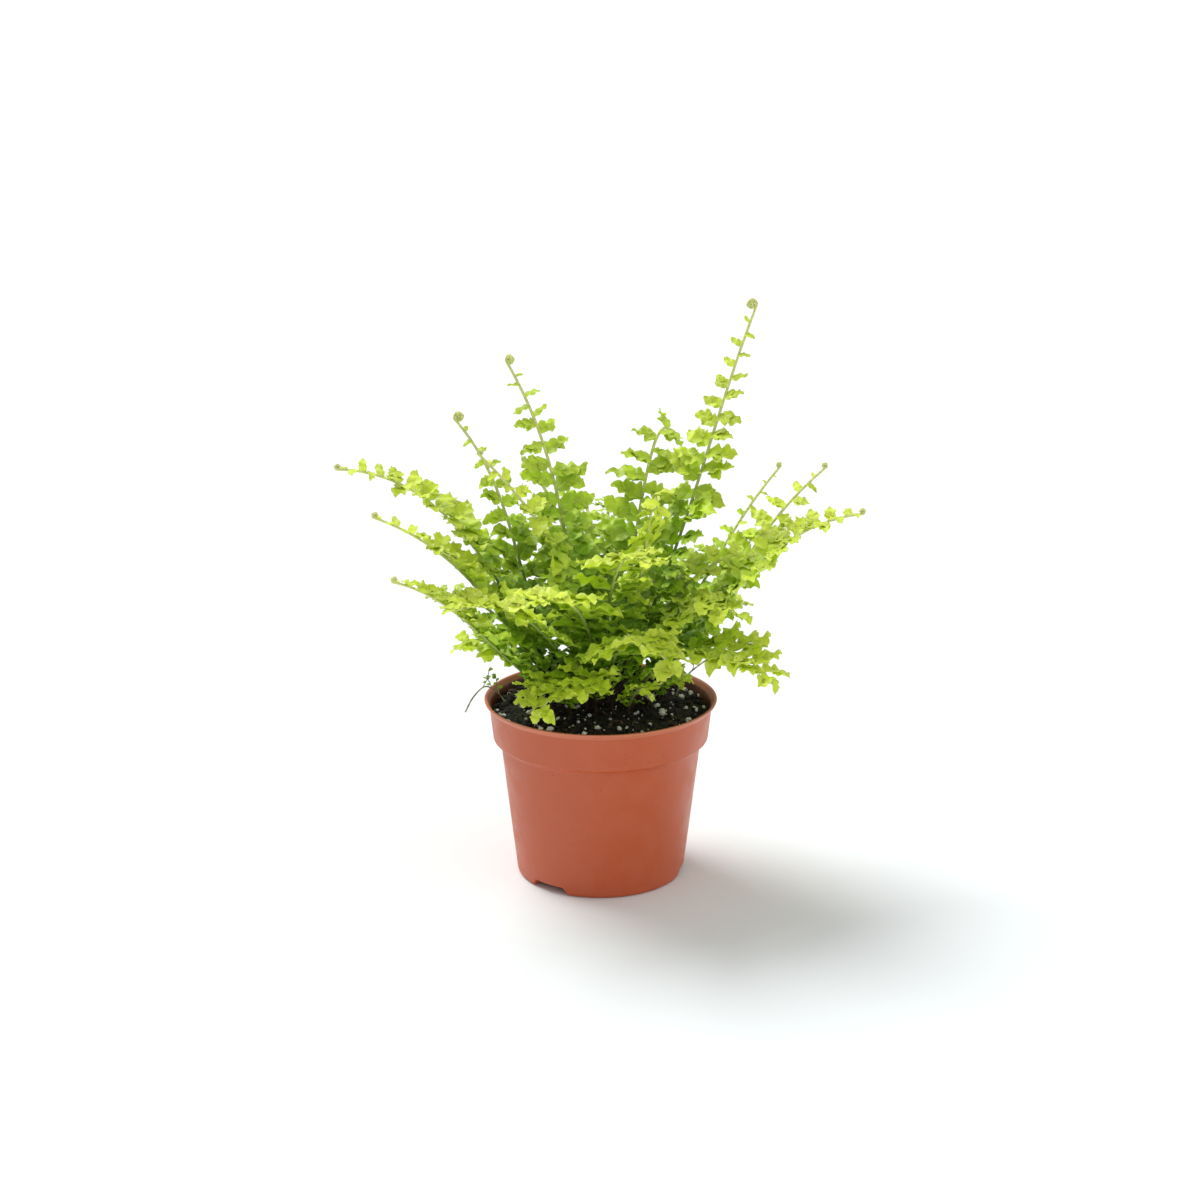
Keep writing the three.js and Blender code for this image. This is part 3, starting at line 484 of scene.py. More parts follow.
def make_mottle():
    """Uneven tone: two noises of the piece's own place, one broad and one fine, that lighten and darken a
    colour and raise the surface a little."""
    inputs = {"Color": (0.5, 0.5, 0.5, 1), "Scale": 100.0, "Amount": 0.2}
    tree, given, made = group("mottle", inputs, ("Color", "Height", "Mask"))
    place, scale = (node(tree, "ShaderNodeTexCoord"), "Object"), (given, "Scale")
    inputs = {"Vector": place, "Scale": scale, "Detail": 3.0, "Roughness": 0.55}
    broad = node(tree, "ShaderNodeTexNoise", inputs), "Fac"
    inputs = {"Vector": place, "Scale": times(scale, 7.3), "Detail": 4.0, "Roughness": 0.6}
    fine = node(tree, "ShaderNodeTexNoise", inputs), "Fac"
    centred = minus(plus(broad, times(fine, 0.5)), 0.75)
    factor = plus(times(centred, times((given, "Amount"), 2.0)), 1.0)
    toned = scaled((given, "Color"), factor)
    feed(made, {"Color": toned, "Height": fine, "Mask": ranged(broad, 0.42, 0.62, 0, 1)})


def make_veins():
    """Leaflet veins from the blade's own map: a midrib along the middle and side veins that run forward to
    the edge, and a second mask that rises towards the edge."""
    tree, given, made = group("veins", {"Count": 7.0, "Slant": 0.3}, ("Vein", "Edge"))
    blade = node(tree, "ShaderNodeUVMap", uv_map="Blade")
    parts = node(tree, "ShaderNodeSeparateXYZ", {0: (blade, 0)})
    across = reckon("ABSOLUTE", minus(times((parts, 0), 2.0), 1.0))
    slanted = minus((parts, 1), times(across, (given, "Slant")))
    phase = reckon("FRACT", times(slanted, (given, "Count")))
    side_vein = ranged(reckon("ABSOLUTE", minus(phase, 0.5)), 0.03, 0.16, 1, 0)
    midrib = ranged(across, 0.02, 0.14, 1, 0)
    fading = times(side_vein, ranged(across, 0.7, 1.0, 0.55, 0.1))
    feed(made, {"Vein": reckon("MAXIMUM", fading, midrib), "Edge": ranged(across, 0.72, 1.0, 0, 1)})


def make_specks():
    """Scattered specks: cells of the piece's own place, shown where a cell's distance is under the size and
    its own drawn value under the share."""
    tree, given, made = group("specks", {"Scale": 300.0, "Size": 0.2, "Share": 0.3}, ("Mask",))
    place = node(tree, "ShaderNodeTexCoord"), "Object"
    cells = node(tree, "ShaderNodeTexVoronoi", {"Vector": place, "Scale": (given, "Scale")}, feature="F1")
    channel = node(tree, "ShaderNodeSeparateColor", {0: (cells, "Color")})
    near = reckon("LESS_THAN", (cells, "Distance"), (given, "Size"))
    chosen = reckon("LESS_THAN", (channel, 0), (given, "Share"))
    feed(made, {"Mask": times(near, chosen)})


def new_material(name, **constants):
    """A material with one Principled shader whose plain sockets are set directly."""
    material = bpy.data.materials.new(name)
    material.use_nodes = True
    shader = material.node_tree.nodes["Principled BSDF"]
    feed(shader, {key.replace("_", " "): value for key, value in constants.items()})
    return material, material.node_tree, shader


def dress(shader, base, height, distance, strength, mask=None, rough=None):
    """Gives a shader its colour, a bump from a height and, where there is a mask, a roughness that the mask
    takes from one value to the other."""
    feed(shader, {"Base Color": base})
    if mask:
        feed(shader, {"Roughness": ranged(mask, 0, 1, *rough, "LINEAR")})
    inputs = {"Distance": distance, "Strength": strength, "Height": height}
    feed(shader, {"Normal": (node(shader.id_data, "ShaderNodeBump", inputs), 0)})


def colour(value):
    """A colour property as the four numbers that a socket takes."""
    return (*value, 1.0)


def leaf_material(name, young, grown_and_shade):
    """Thin lime-green leaf: fresh colour towards a frond's tip and deeper colour towards its foot, partly the
    older leaf's own colour and partly painted shade of the crowded crown. Each leaflet has its own tone,
    paler veins and pale edges, a waxy sheen and light coming through."""
    plain = {"Subsurface_Weight": 0.2, "Subsurface_Scale": 0.001, "Subsurface_Radius": (0.9, 1.0, 0.25)}
    material, tree, shader = new_material(name, Specular_IOR_Level=0.36, **plain)
    veins = use(tree, "veins")
    # The grown colour low on a frond is partly the older leaf's own colour and partly painted shade of the
    # crowded crown.
    base = mixed(ranged(own(tree, "age"), 0.15, 0.8, 0, 1), colour(grown_and_shade), colour(young))
    toned = scaled(base, ranged(own(tree, "tone"), 0, 1, 0.8, 1.22, "LINEAR"))
    mottle = use(tree, "mottle", Color=toned, Scale=170.0, Amount=0.35)
    pale = colour(lerp(fresh, palest, 0.5) for fresh, palest in zip(young, PALE_LEAF))
    veined = mixed(times((veins, "Vein"), 0.45), (mottle, "Color"), pale)
    edged = mixed(times((veins, "Edge"), 0.4), veined, pale)
    height = plus(times((veins, "Vein"), -0.7), (mottle, "Height"))
    dress(shader, edged, height, 0.00012, 0.8, (mottle, "Mask"), (0.38, 0.55))
    return material


def rib_material(name, foot, middle, tip):
    """Rib: dark brown scales near the soil, then green and pale towards the tip, with fine streaks."""
    material, tree, shader = new_material(name, IOR=1.45)
    age = own(tree, "age")
    lower = mixed(ranged(age, 0.1, 0.34, 0, 1), colour(foot), colour(middle))
    upper = mixed(ranged(age, 0.35, 0.78, 0, 1), lower, colour(tip))
    mottle = use(tree, "mottle", Color=upper, Scale=600.0, Amount=0.5)
    dress(shader, (mottle, "Color"), (mottle, "Height"), 0.0001, 0.7, (mottle, "Mask"), (0.45, 0.65))
    return material


def pot_material(settings):
    """Terracotta-coloured moulded plastic: a faint cloudy tone, fine grain, a few dark specks, pale rubbed
    marks, a lighter lip, and an inner wall darkened partly by soil and partly by painted shade."""
    material, tree, shader = new_material("pot_plastic", IOR=1.5, Coat_Weight=0.35, Coat_Roughness=0.4)
    mottle = use(tree, "mottle", Color=colour(settings.plastic), Scale=16.0, Amount=0.05)
    specks = use(tree, "specks", Scale=420.0, Size=0.16, Share=0.05)
    marks = use(tree, "mottle", Scale=95.0, Amount=0.1), "Mask"
    rubbed = mixed(times(marks, 0.03), (mottle, "Color"), RUBBED)
    # The lip's outside is mixed a little towards a lighter colour.
    lip = mixed(times(own(tree, "worn"), 0.3), rubbed, PALE_LIP)
    dotted = mixed(times((specks, "Mask"), 0.55), lip, SPECK)
    # The inner wall goes dark, partly with soil on it and partly with painted shade inside the pot.
    soil_and_shade_mask = times(own(tree, "inner"), ranged(marks, 0, 1, 0.6, 0.95, "LINEAR"))
    grain = use(tree, "mottle", Scale=900.0, Amount=0.1)
    dress(shader, mixed(soil_and_shade_mask, dotted, SOIL_AND_SHADE), (grain, "Height"), 0.00004, 0.5, marks, (0.42, 0.58))
    return material


def grit_material(name, dark, light, scale, roughness=0.9, bump=0.0004, uneven=0.9):
    """Soil, crumbs, bark, grains and threads: one colour in another by broad noise, uneven in tone, dull."""
    material, tree, shader = new_material(name, Roughness=roughness)
    patch = use(tree, "mottle", Scale=scale * 0.45, Amount=0.2)
    both = mixed((patch, "Mask"), colour(dark), colour(light))
    mottle = use(tree, "mottle", Color=both, Scale=scale, Amount=uneven)
    dress(shader, (mottle, "Color"), (mottle, "Height"), bump, 0.8)
    return material


def soil_material(settings):
    """Dark potting mix: near-black peat with browner patches and a faint green film of moss on top."""
    material = grit_material("soil_mix", settings.peat, settings.humus, 420.0)
    shader = material.node_tree.nodes["Principled BSDF"]
    link = shader.inputs["Base Color"].links[0]
    film = use(material.node_tree, "mottle", Scale=38.0, Amount=0.3)
    mask = times(reckon("POWER", (film, "Mask"), 3.0), 0.18)
    feed(shader, {"Base Color": mixed(mask, (link.from_node, link.from_socket.name), MOSS)})
    return material


def make_groups():
    """The shared node groups, made once."""
    for name, maker in (("mottle", make_mottle), ("veins", make_veins), ("specks", make_specks)):
        if name not in bpy.data.node_groups:
            maker()


# ---- fronds


# How a leaflet is drawn by its length: rows along it, lobes along an edge, and depth of the notches between
# them as a share of its half-width. The second style starts at the first of these lengths in mm, and so on.
Style = namedtuple("Style", "rows lobes notch")
STYLES = (Style(10, 2.0, 0.14), Style(20, 3.6, 0.24), Style(36, 5.4, 0.28))
STYLE_LENGTHS = (6.5, 11.5)
# How far a leaflet's front and rear edge swell at its foot, as a share of its half-width. The slopes of its
# fold and twist, and its least droop as a share of its length.
FRONT_EAR, REAR_EAR = 0.22, 0.06
FOLDS, TWISTS, LEAST_DROOP = (-0.25, 0.55), (-0.35, 0.35), -0.06
# A row of leaflets, one number or vector for each: seat, direction outwards, across and out of the upper
# face, side of the rib (1 left, -1 right), length, width, number for the draws, place along the frond.
Blades = namedtuple("Blades", "seat outward across normal hand size width number place")
# Across each section: from the rear edge over the top to the front edge and back underneath.
ACROSS = np.array([-1, -0.5, 0, 0.5, 1, 0.5, 0, -0.5])
THICKNESS = np.array([0, 0.45, 1, 0.45, 0, -0.45, -1.6, -0.45])


def leaflet_frames(along, side, up, hand, number, swings, lifts, level=0.0):
    """Each leaflet's directions: outwards from the rib, swung forward and lifted by its own drawn angles, and
    across and out of its upper face. Both are rolled about it, by a share of the angle that would turn the
    face to the light overhead and by a drawn angle."""
    swing = np.radians(lerp(*swings, draw(number + 0.31)))
    lift = np.radians(lerp(*lifts, draw(number)))
    outward = turn(side * hand[:, None], up, -swing * hand)
    outward = turn(outward, along, lift * hand)
    across = unit(along - outward * np.sum(along * outward, axis=-1, keepdims=True))
    normal = np.cross(across, outward) * hand[:, None]
    overhead = np.arctan2(np.cross(outward, normal)[:, 2], normal[:, 2])
    overhead = np.clip((overhead + np.pi / 2) % np.pi - np.pi / 2, -1.2, 1.2)
    roll = level * overhead + np.radians(lerp(-11, 11, draw(number + 0.57)))
    return outward, turn(across, outward, roll), turn(normal, outward, roll)


def chosen_blades(blades, chosen):
    """The chosen ones of a row of leaflets."""
    return Blades(*(field[chosen] for field in blades))


def edge_widths(out, style, seed, ear, settings):
    """Half-width of one edge of each leaflet at each row. A blunt oblong, 0.62 as wide at the rib and rounded
    at the tip, is cut into rounded lobes by |sin|^0.6 of its lobe count, in notches that grow shallower near
    the tip. The ear is a wider lobe at its foot."""
    count = style.lobes * lerp(0.85, 1.15, draw(seed))[:, None]
    lobes = np.abs(np.sin(np.pi * (out * count + lerp(0.2, 0.6, draw(seed + 0.4))[:, None]))) ** 0.6
    body = (0.62 + 0.38 * smooth(0, 0.15, out)) * (1 - smooth(0.6, 1.13, out)) * (1 - 0.14 * out)
    body = body + ear * np.exp(-(((out - 0.15) / 0.09) ** 2))
    uneven = 1 + settings.unevenness * np.sin(out * 5 + draw(seed + 0.8)[:, None] * 6.3)
    notch = style.notch * (1 - 0.6 * smooth(0.7, 1.0, out))
    return body * uneven * (1 - notch * (1 - lobes))


def leaflets(blades, style, settings):
    """Leaflet blades, one for each seat. A point lies out from the rib by the row's share of the length, and
    to the front or rear by its edge's half-width, carried forward with it as the side veins are. Across the
    blade it is folded like a shallow trough, droops with the square of the distance, and its edges wave up
    and down from lobe to lobe. Its thickness shrinks towards both ends."""
    pick = lambda k: draw(blades.number * 7.7 + k)[:, None, None]
    seat, outward, across, normal = (field[:, None, None] for field in blades[:4])
    row = np.linspace(0, 1, style.rows)
    out = row * (1.25 - 0.25 * row)
    front = edge_widths(out, style, blades.number * 3.1 + 1, FRONT_EAR, settings)
    rear = edge_widths(out, style, blades.number * 3.1 + 2, REAR_EAR, settings)
    out = out[None, :, None]
    u = ACROSS[None, None]
    length, width = blades.size[:, None, None], blades.width[:, None, None]
    half = np.where(u > 0, front[..., None], rear[..., None]) * width / 2
    wave = np.sin(out * style.lobes * 3.4 + pick(3) * 6.3 + np.sign(u) * (1 + pick(4) * 2))
    ruffle = settings.ruffle * np.abs(u) ** 1.4 * wave * np.minimum(1, out * 3)
    fold = lerp(*FOLDS, pick(5)) * np.abs(u) * half
    droop = lerp(LEAST_DROOP, settings.droop, pick(6)) * out * out
    twist = lerp(*TWISTS, pick(7)) * u * half * out
    height = length * (ruffle - droop) + fold + twist
    body = np.minimum(1, 0.15 + out * 6) * np.minimum(1, (1.02 - out) * 8)
    height = height + THICKNESS[None, None] * settings.blade_thickness * body
    forward = u * half + 0.1 * width * out
    reach = length * out + settings.vein_slant * np.abs(u) * half
    points = seat + reach[..., None] * outward + forward[..., None] * across + height[..., None] * normal

    count, each = len(blades.size), style.rows * len(ACROSS)
    quads = many(tube_quads(style.rows, len(ACROSS)), count, each).reshape(count, -1, 4)
    quads = np.where(blades.hand[:, None, None] > 0, quads, quads[..., ::-1]).reshape(-1, 4)
    uv = np.stack(np.broadcast_arrays(0.5 + u / 2, np.broadcast_to(out, points.shape[:3])), axis=-1)
    return points, quads, uv


def add_blades(mesh, blades, settings):
    """Adds a row of leaflets, each style in one patch, with their age and tone."""
    kind = np.digitize(blades.size, STYLE_LENGTHS)
    for number, style in enumerate(STYLES):
        if (kind == number).any():
            alike = chosen_blades(blades, kind == number)
            points, quads, uv = leaflets(alike, style, settings)
            each = style.rows * len(ACROSS)
            age = np.repeat(alike.place, each) + 0.25 * (uv[..., 1].ravel() - 0.5)
            tone = np.repeat(draw(alike.number + 0.9), each)
            mesh.add(points, quads, uv=uv, age=np.clip(age, 0, 1), tone=tone)


# Spread of the leaflets' lengths, and of their width over their length, to which the lower ones add a share,
# less on an upright frond. A drooping frond has closer and wider leaflets. Those near a tip fill less of the
# room on their side, and so do all on a loose frond, which is an upright one or one at the back.
LENGTHS, WIDTHS = (0.88, 1.14), (0.44, 0.58)
UPRIGHT_WIDER, LOWER_WIDER, DROOPING_WIDER, DROOPING_ROOM, DROOPING_PITCH = 0.07, 0.2, 0.16, 0.3, 0.85
TIP_ROOM, LOOSE_ROOM = 0.95, 0.82
# Side blades: side and place on the leaflet's length, and their lengths as a share of it.
EARS, EAR_LENGTHS = ((1.0, 0.24), (-1.0, 0.36)), (0.3, 0.46)


def leaflet_length(frond, share):
    """Small at the tip, and growing over the frond's own share of the blade to the longest: the taper is
    t = 0.28 + 0.72 min(1, (1 - share) / full)^1.1, at least 0.7 on a falling frond and t + 0.1 (1 - t) on an
    arching one. Leaf times the taper is less by up to 35 % in the first quarter."""
    taper = 0.28 + 0.72 * np.minimum(1, (1 - share) / frond.full) ** 1.1
    if frond.tip < 0:
        taper = np.maximum(taper, 0.7)
    elif frond.tip < UPRIGHT_SLOPE:
        taper = taper + 0.1 * (1 - taper)
    foot = 1 - 0.35 * np.maximum(0, 1 - share / 0.25) ** 2
    return frond.leaf * taper * foot


def add_rib(mesh, frond, course, settings):
    """The rib: an ellipse carried along the course, thinner towards the tip, and rolled at its end into a
    coil whose radius shrinks evenly with its turn, with knobs along it."""
    shares = np.linspace(0, 1, settings.rib_rings)
    centre, _, side, up = course.frames(shares)
    buried = centre[0] - np.array([0, 0, RIB_BURIED])
    centre, side, up = np.vstack([buried, centre]), np.vstack([side[:1], side]), np.vstack([up[:1], up])
    radius = lerp(RIB_FOOT, RIB_TIP, np.concatenate([[0], shares]))
    roll = COIL if frond.tip > COILING_SLOPE else (SMALL_COIL if frond.tip > 0 else HOOK)
    hub = centre[-1] + up[-1] * roll.radius
    steps = settings.coil_rings
    share = np.linspace(0, 1, steps + 1)[1:]
    angle = -share * roll.turns * 2 * np.pi
    axis = np.broadcast_to(side[-1], (steps, 3))
    coil_up = turn(np.broadcast_to(up[-1], (steps, 3)), axis, angle)
    coil = hub - coil_up * (roll.radius * (1 - roll.closing * share))[:, None]
    knobs = 1 + 0.2 * np.sin(share * steps * 1.05)
    width = lerp(RIB_TIP, roll.width, np.minimum(1, share * 2.2)) * knobs
    depth = lerp(COIL_DEPTH, roll.depth, np.minimum(1, share * 3)) * knobs
    centre, side, up = np.vstack([centre, coil]), np.vstack([side, axis]), np.vstack([up, coil_up])
    widths, depths = np.concatenate([radius, width]), np.concatenate([radius * RIB_FLATNESS, depth])
    age = np.repeat(np.concatenate([[0], shares, np.full(steps, 0.8)]), RIB_SIDES)
    points = tube(centre, side, up, widths, depths, RIB_SIDES)
    mesh.add(points, tube_quads(len(centre), RIB_SIDES), slot=1, age=age, tone=0.5)


def add_hairs(mesh, course, owner, settings):
    """Fine brown hairs on the lower rib, each a narrow four-sided spike that leans towards the tip."""
    count = settings.hairs
    number = owner * 211 + np.arange(count)
    share = 0.42 * draw(number) ** 1.3
    centre, along, side, _ = course.frames(share)
    angle = draw(number + 0.3) * 2 * np.pi
    out = turn(side, along, angle)
    leaning = unit(out + along * lerp(0.1, 0.9, draw(number + 0.6))[:, None])
    foot = centre + out * 0.6
    tip = foot + leaning * lerp(0.5, 1.4, draw(number + 0.8))[:, None]
    across = np.cross(along, out)
    spread = np.stack([across, along, -across, -along], axis=1) * 0.05
    points = np.stack([foot[:, None] + spread, tip[:, None] + spread * 0.2], axis=1)
    mesh.add(points, many(tube_quads(2, 4), count, 8), slot=1, age=0.05, tone=0.5)


def add_leaflets(mesh, frond, owner, course, settings):
    """Leaflets by turns on the left and right of the rib. A seat's even share e of the way along the blade is
    kept on an arching frond and on a drooping one in front, whose leaflets also reach nearer the tip. It
    becomes e (0.75 + 0.25 e) on the others, whose leaflets stand closer together low on the blade."""
    upright, arching = frond.tip > UPRIGHT_SLOPE, 0 < frond.tip < UPRIGHT_SLOPE
    drooping = frond.tip < 0 and frond.heading > 180
    blade = course.lengths[-1] * (LEAFY_LAST - LEAFY_FIRST)
    pitch = settings.pitch * (DROOPING_PITCH if drooping else 1.0)
    seats = max(frond.pairs * 2, int(round(blade / pitch)))
    first = np.arange(seats)
    even = (first + 0.5 + 0.25 * (draw(first + owner * 31.0) - 0.5)) / seats
    to_tip = drooping or arching
    share = even if to_tip else even * (0.75 + 0.25 * even)
    place = lerp(LEAFY_FIRST, LEAFY_END if to_tip else LEAFY_LAST, share)
    number = owner * 100.0 + first
    lower = smooth(0.9, 0.45, share)
    size = leaflet_length(frond, share) * lerp(*LENGTHS, draw(number + 0.5))
    size = size * lerp(1, settings.lower_scale, lower)
    step = blade / seats * 2 * (0.75 + 0.5 * even)
    wider = (UPRIGHT_WIDER if upright else LOWER_WIDER) * lower
    slim = lerp(*WIDTHS, draw(number + 0.2)) + wider + DROOPING_WIDER * drooping
    room = lerp(TIP_ROOM, settings.fill, lower) * (LOOSE_ROOM if upright or frond.heading < 180 else 1)
    width = np.minimum(step * (room + DROOPING_ROOM * drooping), size * slim)
    hand = np.where(first % 2 == 0, 1.0, -1.0)
    centre, *frames = course.frames(place)
    lifts = (0, 42) if arching else (-8, 24)
    directions = leaflet_frames(*frames, hand, number, (-8, 24), lifts, level=settings.level)
    over = 0.0 if upright else 0.7
    seat = centre + frames[2] * (0.25 + 0.6 * over) - directions[0] * over
    blades = Blades(seat, *directions, hand, size, width, number, place)
    add_blades(mesh, blades, settings)
    add_low_leaflets(mesh, frond, owner, course, settings)
    if frond.tip < 0:
        add_end_leaflet(mesh, frond, owner, course, settings)
    add_ears(mesh, blades, settings)


def add_low_leaflets(mesh, frond, owner, course, settings):
    """Small leaflets down the bare part of the rib: half as many on the fronds that point to the front, so
    that the soil shows, and twice as many on those at the front left."""
    crowding = 0.5 if 240 < frond.heading < 310 else (2 if 180 < frond.heading < 240 else 1)
    low = np.arange(int(settings.low_leaflets * crowding))
    number = owner * 100.0 + low + 60
    share = lerp(0.1, LEAFY_FIRST, (low + draw(low + owner * 17.0)) / len(low))
    size = frond.leaf * lerp(0.35, 0.62, draw(low + owner * 29.0))
    hand = np.where(low % 2 == 0, 1.0, -1.0)
    centre, *frames = course.frames(share)
    directions = leaflet_frames(*frames, hand, number, swings=(0, 40), lifts=(-30, 50), level=settings.level)
    add_blades(mesh, Blades(centre, *directions, hand, size, size * 0.6, number, share * 0.6), settings)


def add_end_leaflet(mesh, frond, owner, course, settings):
    """One leaflet that points on along the rib and covers the end of a falling frond."""
    centre, along, side, up = course.frames(np.array([0.98]))
    one, size = np.ones(1), np.array([0.42 * frond.leaf])
    number = np.array([owner * 100.0 + 70])
    blades = Blades(centre + up * 0.8, along, -side, up, one, size, size * 0.9, number, one)
    add_blades(mesh, blades, settings)


def add_ears(mesh, blades, settings):
    """Two short side blades low on each leaflet that is long enough, one to the front and one to the rear,
    which make it look crested."""
    stems = chosen_blades(blades, blades.size > settings.ear_from)
    across = np.cross(stems.normal, stems.outward)
    for side, at in EARS:
        number = stems.number + 5000 + 700 * side
        size = stems.size * lerp(*EAR_LENGTHS, draw(number + 0.1))
        seat = stems.seat + stems.outward * (stems.size * at)[:, None]
        hand = np.full(len(number), side)
        given = (stems.outward, across, stems.normal, hand, number)
        directions = leaflet_frames(*given, swings=(25, 60), lifts=(-14, 20), level=0.4 * settings.level)
        add_blades(mesh, Blades(seat, *directions, hand, size, size * 0.95, number, stems.place), settings)


def make_frond(frond, owner, settings, materials):
    """One frond: its rib with a coiled tip, its hairs and its leaflets, in one piece."""
    course = Course(frond)
    mesh = Mesh()
    add_leaflets(mesh, frond, owner, course, settings)
    add_rib(mesh, frond, course, settings)
    add_hairs(mesh, course, owner, settings)
    return mesh.build(f"fern_frond_{owner + 1:02d}", materials)


# ---- add-on: sizes and colours


def real(name, description, default, **limits):
    """A number property."""
    return FloatProperty(name=name, description=description, default=default, **limits)


def integer(name, description, default, low):
    """A whole number property, no less than low."""
    return IntProperty(name=name, description=description, default=default, min=low)


def degrees(name, description, default):
    """An angle property with its default in degrees."""
    return real(name, description, np.radians(default), subtype="ANGLE")


def tint(name, description, default):
    """A colour property."""
    limits = {"size": 3, "min": 0, "max": 1, "subtype": "COLOR"}
    return FloatVectorProperty(name=name, description=description, default=default, **limits)


class FernPotSettings(PropertyGroup):
    """Sizes and colours of the pot."""

    sides: integer("Sides", "Points round the pot", 192, 48)
    plastic: tint("Plastic", "Colour of the moulded plastic", (0.53, 0.082, 0.012))
    warp: real("Warp", "How far the thin wall is out of round, in mm", 0.12, min=0)


class FernSoilSettings(PropertyGroup):
    """Amounts and colours of the potting mix."""

    rings: integer("Rings", "Rings of the soil's surface", 70, 10)
    crumbs: integer("Crumbs", "Loose dark crumbs", 1100, 0)
    perlite: integer("Perlite", "White perlite grains", 230, 0)
    bark: integer("Bark", "Bits of bark", 70, 0)
    roots: integer("Root threads", "Pale root threads", 22, 0)
    peat: tint("Peat", "Dark part of the mix", (0.0022, 0.0017, 0.0012))
    humus: tint("Humus", "Browner part of the mix", (0.020, 0.013, 0.008))


class FernFrondSettings(PropertyGroup):
    """Form and colours of the fronds."""

    pitch: real("Pitch", "Distance from leaflet to leaflet along the rib, in mm", 4.6, min=2)
    fill: real("Fill", "Leaflet width as a share of the room on its side", 1.4, min=0.2)
    lower_scale: real("Lower leaflets", "Length of the lower leaflets beside the solid's", 1.1, min=0.5)
    low_leaflets: integer("Low leaflets", "Small leaflets on the bare part of each rib", 8, 1)
    level: real("Levelling", "Share by which leaflets turn to the light overhead", 0.55)
    ear_from: real("Ears from", "Leaflets longer than this have two side blades, in mm", 10.5)
    ruffle: real("Ruffle", "Wave of a leaflet's edge as a share of its length", 0.06, min=0)
    droop: real("Droop", "Most droop of a leaflet's tip as a share of its length", 0.28)
    unevenness: real("Unevenness", "Share by which lobes differ", 0.11, min=0)
    vein_slant: real("Vein slant", "How far lobes point forward", 0.22)
    blade_thickness: real("Blade thickness", "Half thickness at the midrib, in mm", 0.13, min=0.02)
    rib_rings: integer("Rib rings", "Rings along a rib", 64, 8)
    coil_rings: integer("Coil rings", "Rings round a coiled tip", 44, 12)
    hairs: integer("Hairs", "Hairs on each rib", 70, 0)
    young: tint("Young leaf", "Colour of fresh leaflets", (0.62, 0.768, 0.045))
    # The grown colour is partly painted shade: darker and greener near the crown, where the fronds crowd.
    grown_and_shade: tint("Grown leaf", "Colour of leaflets near the crown", (0.285, 0.545, 0.007))
    shaded_young: tint("Shaded young leaf", "Colour of fresh leaflets at the back", (0.51, 0.70, 0.03))
    shaded_grown: tint("Shaded grown leaf", "Colour of inner leaflets at the back", (0.15, 0.35, 0.005))
    rib_foot: tint("Rib foot", "Colour of a rib near the soil", (0.045, 0.022, 0.012))
    rib_middle: tint("Rib middle", "Colour of a rib half way up", (0.23, 0.33, 0.05))
    rib_tip: tint("Rib tip", "Colour of a rib near its tip", (0.68, 0.71, 0.25))


class FernStageSettings(PropertyGroup):
    """Light, floor and camera."""

    lens: real("Lens", "Focal length", 64.5, min=10, unit="CAMERA")
    camera_back: real("Camera distance", "Camera in front of the axis", 1.053, unit="LENGTH")
    camera_height: real("Camera height", "Camera above the floor", 0.451, unit="LENGTH")
    camera_pitch: degrees("Camera pitch", "Angle from straight down", 73.84)
    sky: real("Fill light", "Strength of the even light all round", 0.42, min=0)
    key: real("Key light", "Strength of the soft sun", 2.45, min=0)
    key_width: degrees("Key width", "How wide the soft sun is", 34)
    key_tilt: degrees("Key tilt", "Angle of the soft sun from overhead", 34)
    key_heading: degrees("Key heading", "Where it shines to, from the right", -43)
    paper: tint("Floor", "Colour of the floor", (0.905, 0.943, 0.96))
    side: real("Side light", "Strength of the wide light from the right", 0.78, min=0)


# ---- pot


def rounded(corners):
    """A closed profile with its corners rounded: each corner becomes a short curve of second degree between
    the points that lie its radius away on both sides."""
    corners = np.array(corners, dtype=float)
    place, radius = corners[:, :2], corners[:, 2:3]
    before, after = np.roll(place, 1, axis=0) - place, np.roll(place, -1, axis=0) - place
    room = np.minimum(np.linalg.norm(before, axis=1), np.linalg.norm(after, axis=1))[:, None] * 0.45
    radius = np.minimum(radius, room)
    start, end = place + unit(before) * radius, place + unit(after) * radius
    t = np.linspace(0, 1, CORNER_STEPS + 1)[None, :, None]
    curve = start[:, None] * (1 - t) ** 2 + place[:, None] * 2 * t * (1 - t) + end[:, None] * t * t
    return curve.reshape(-1, 2)


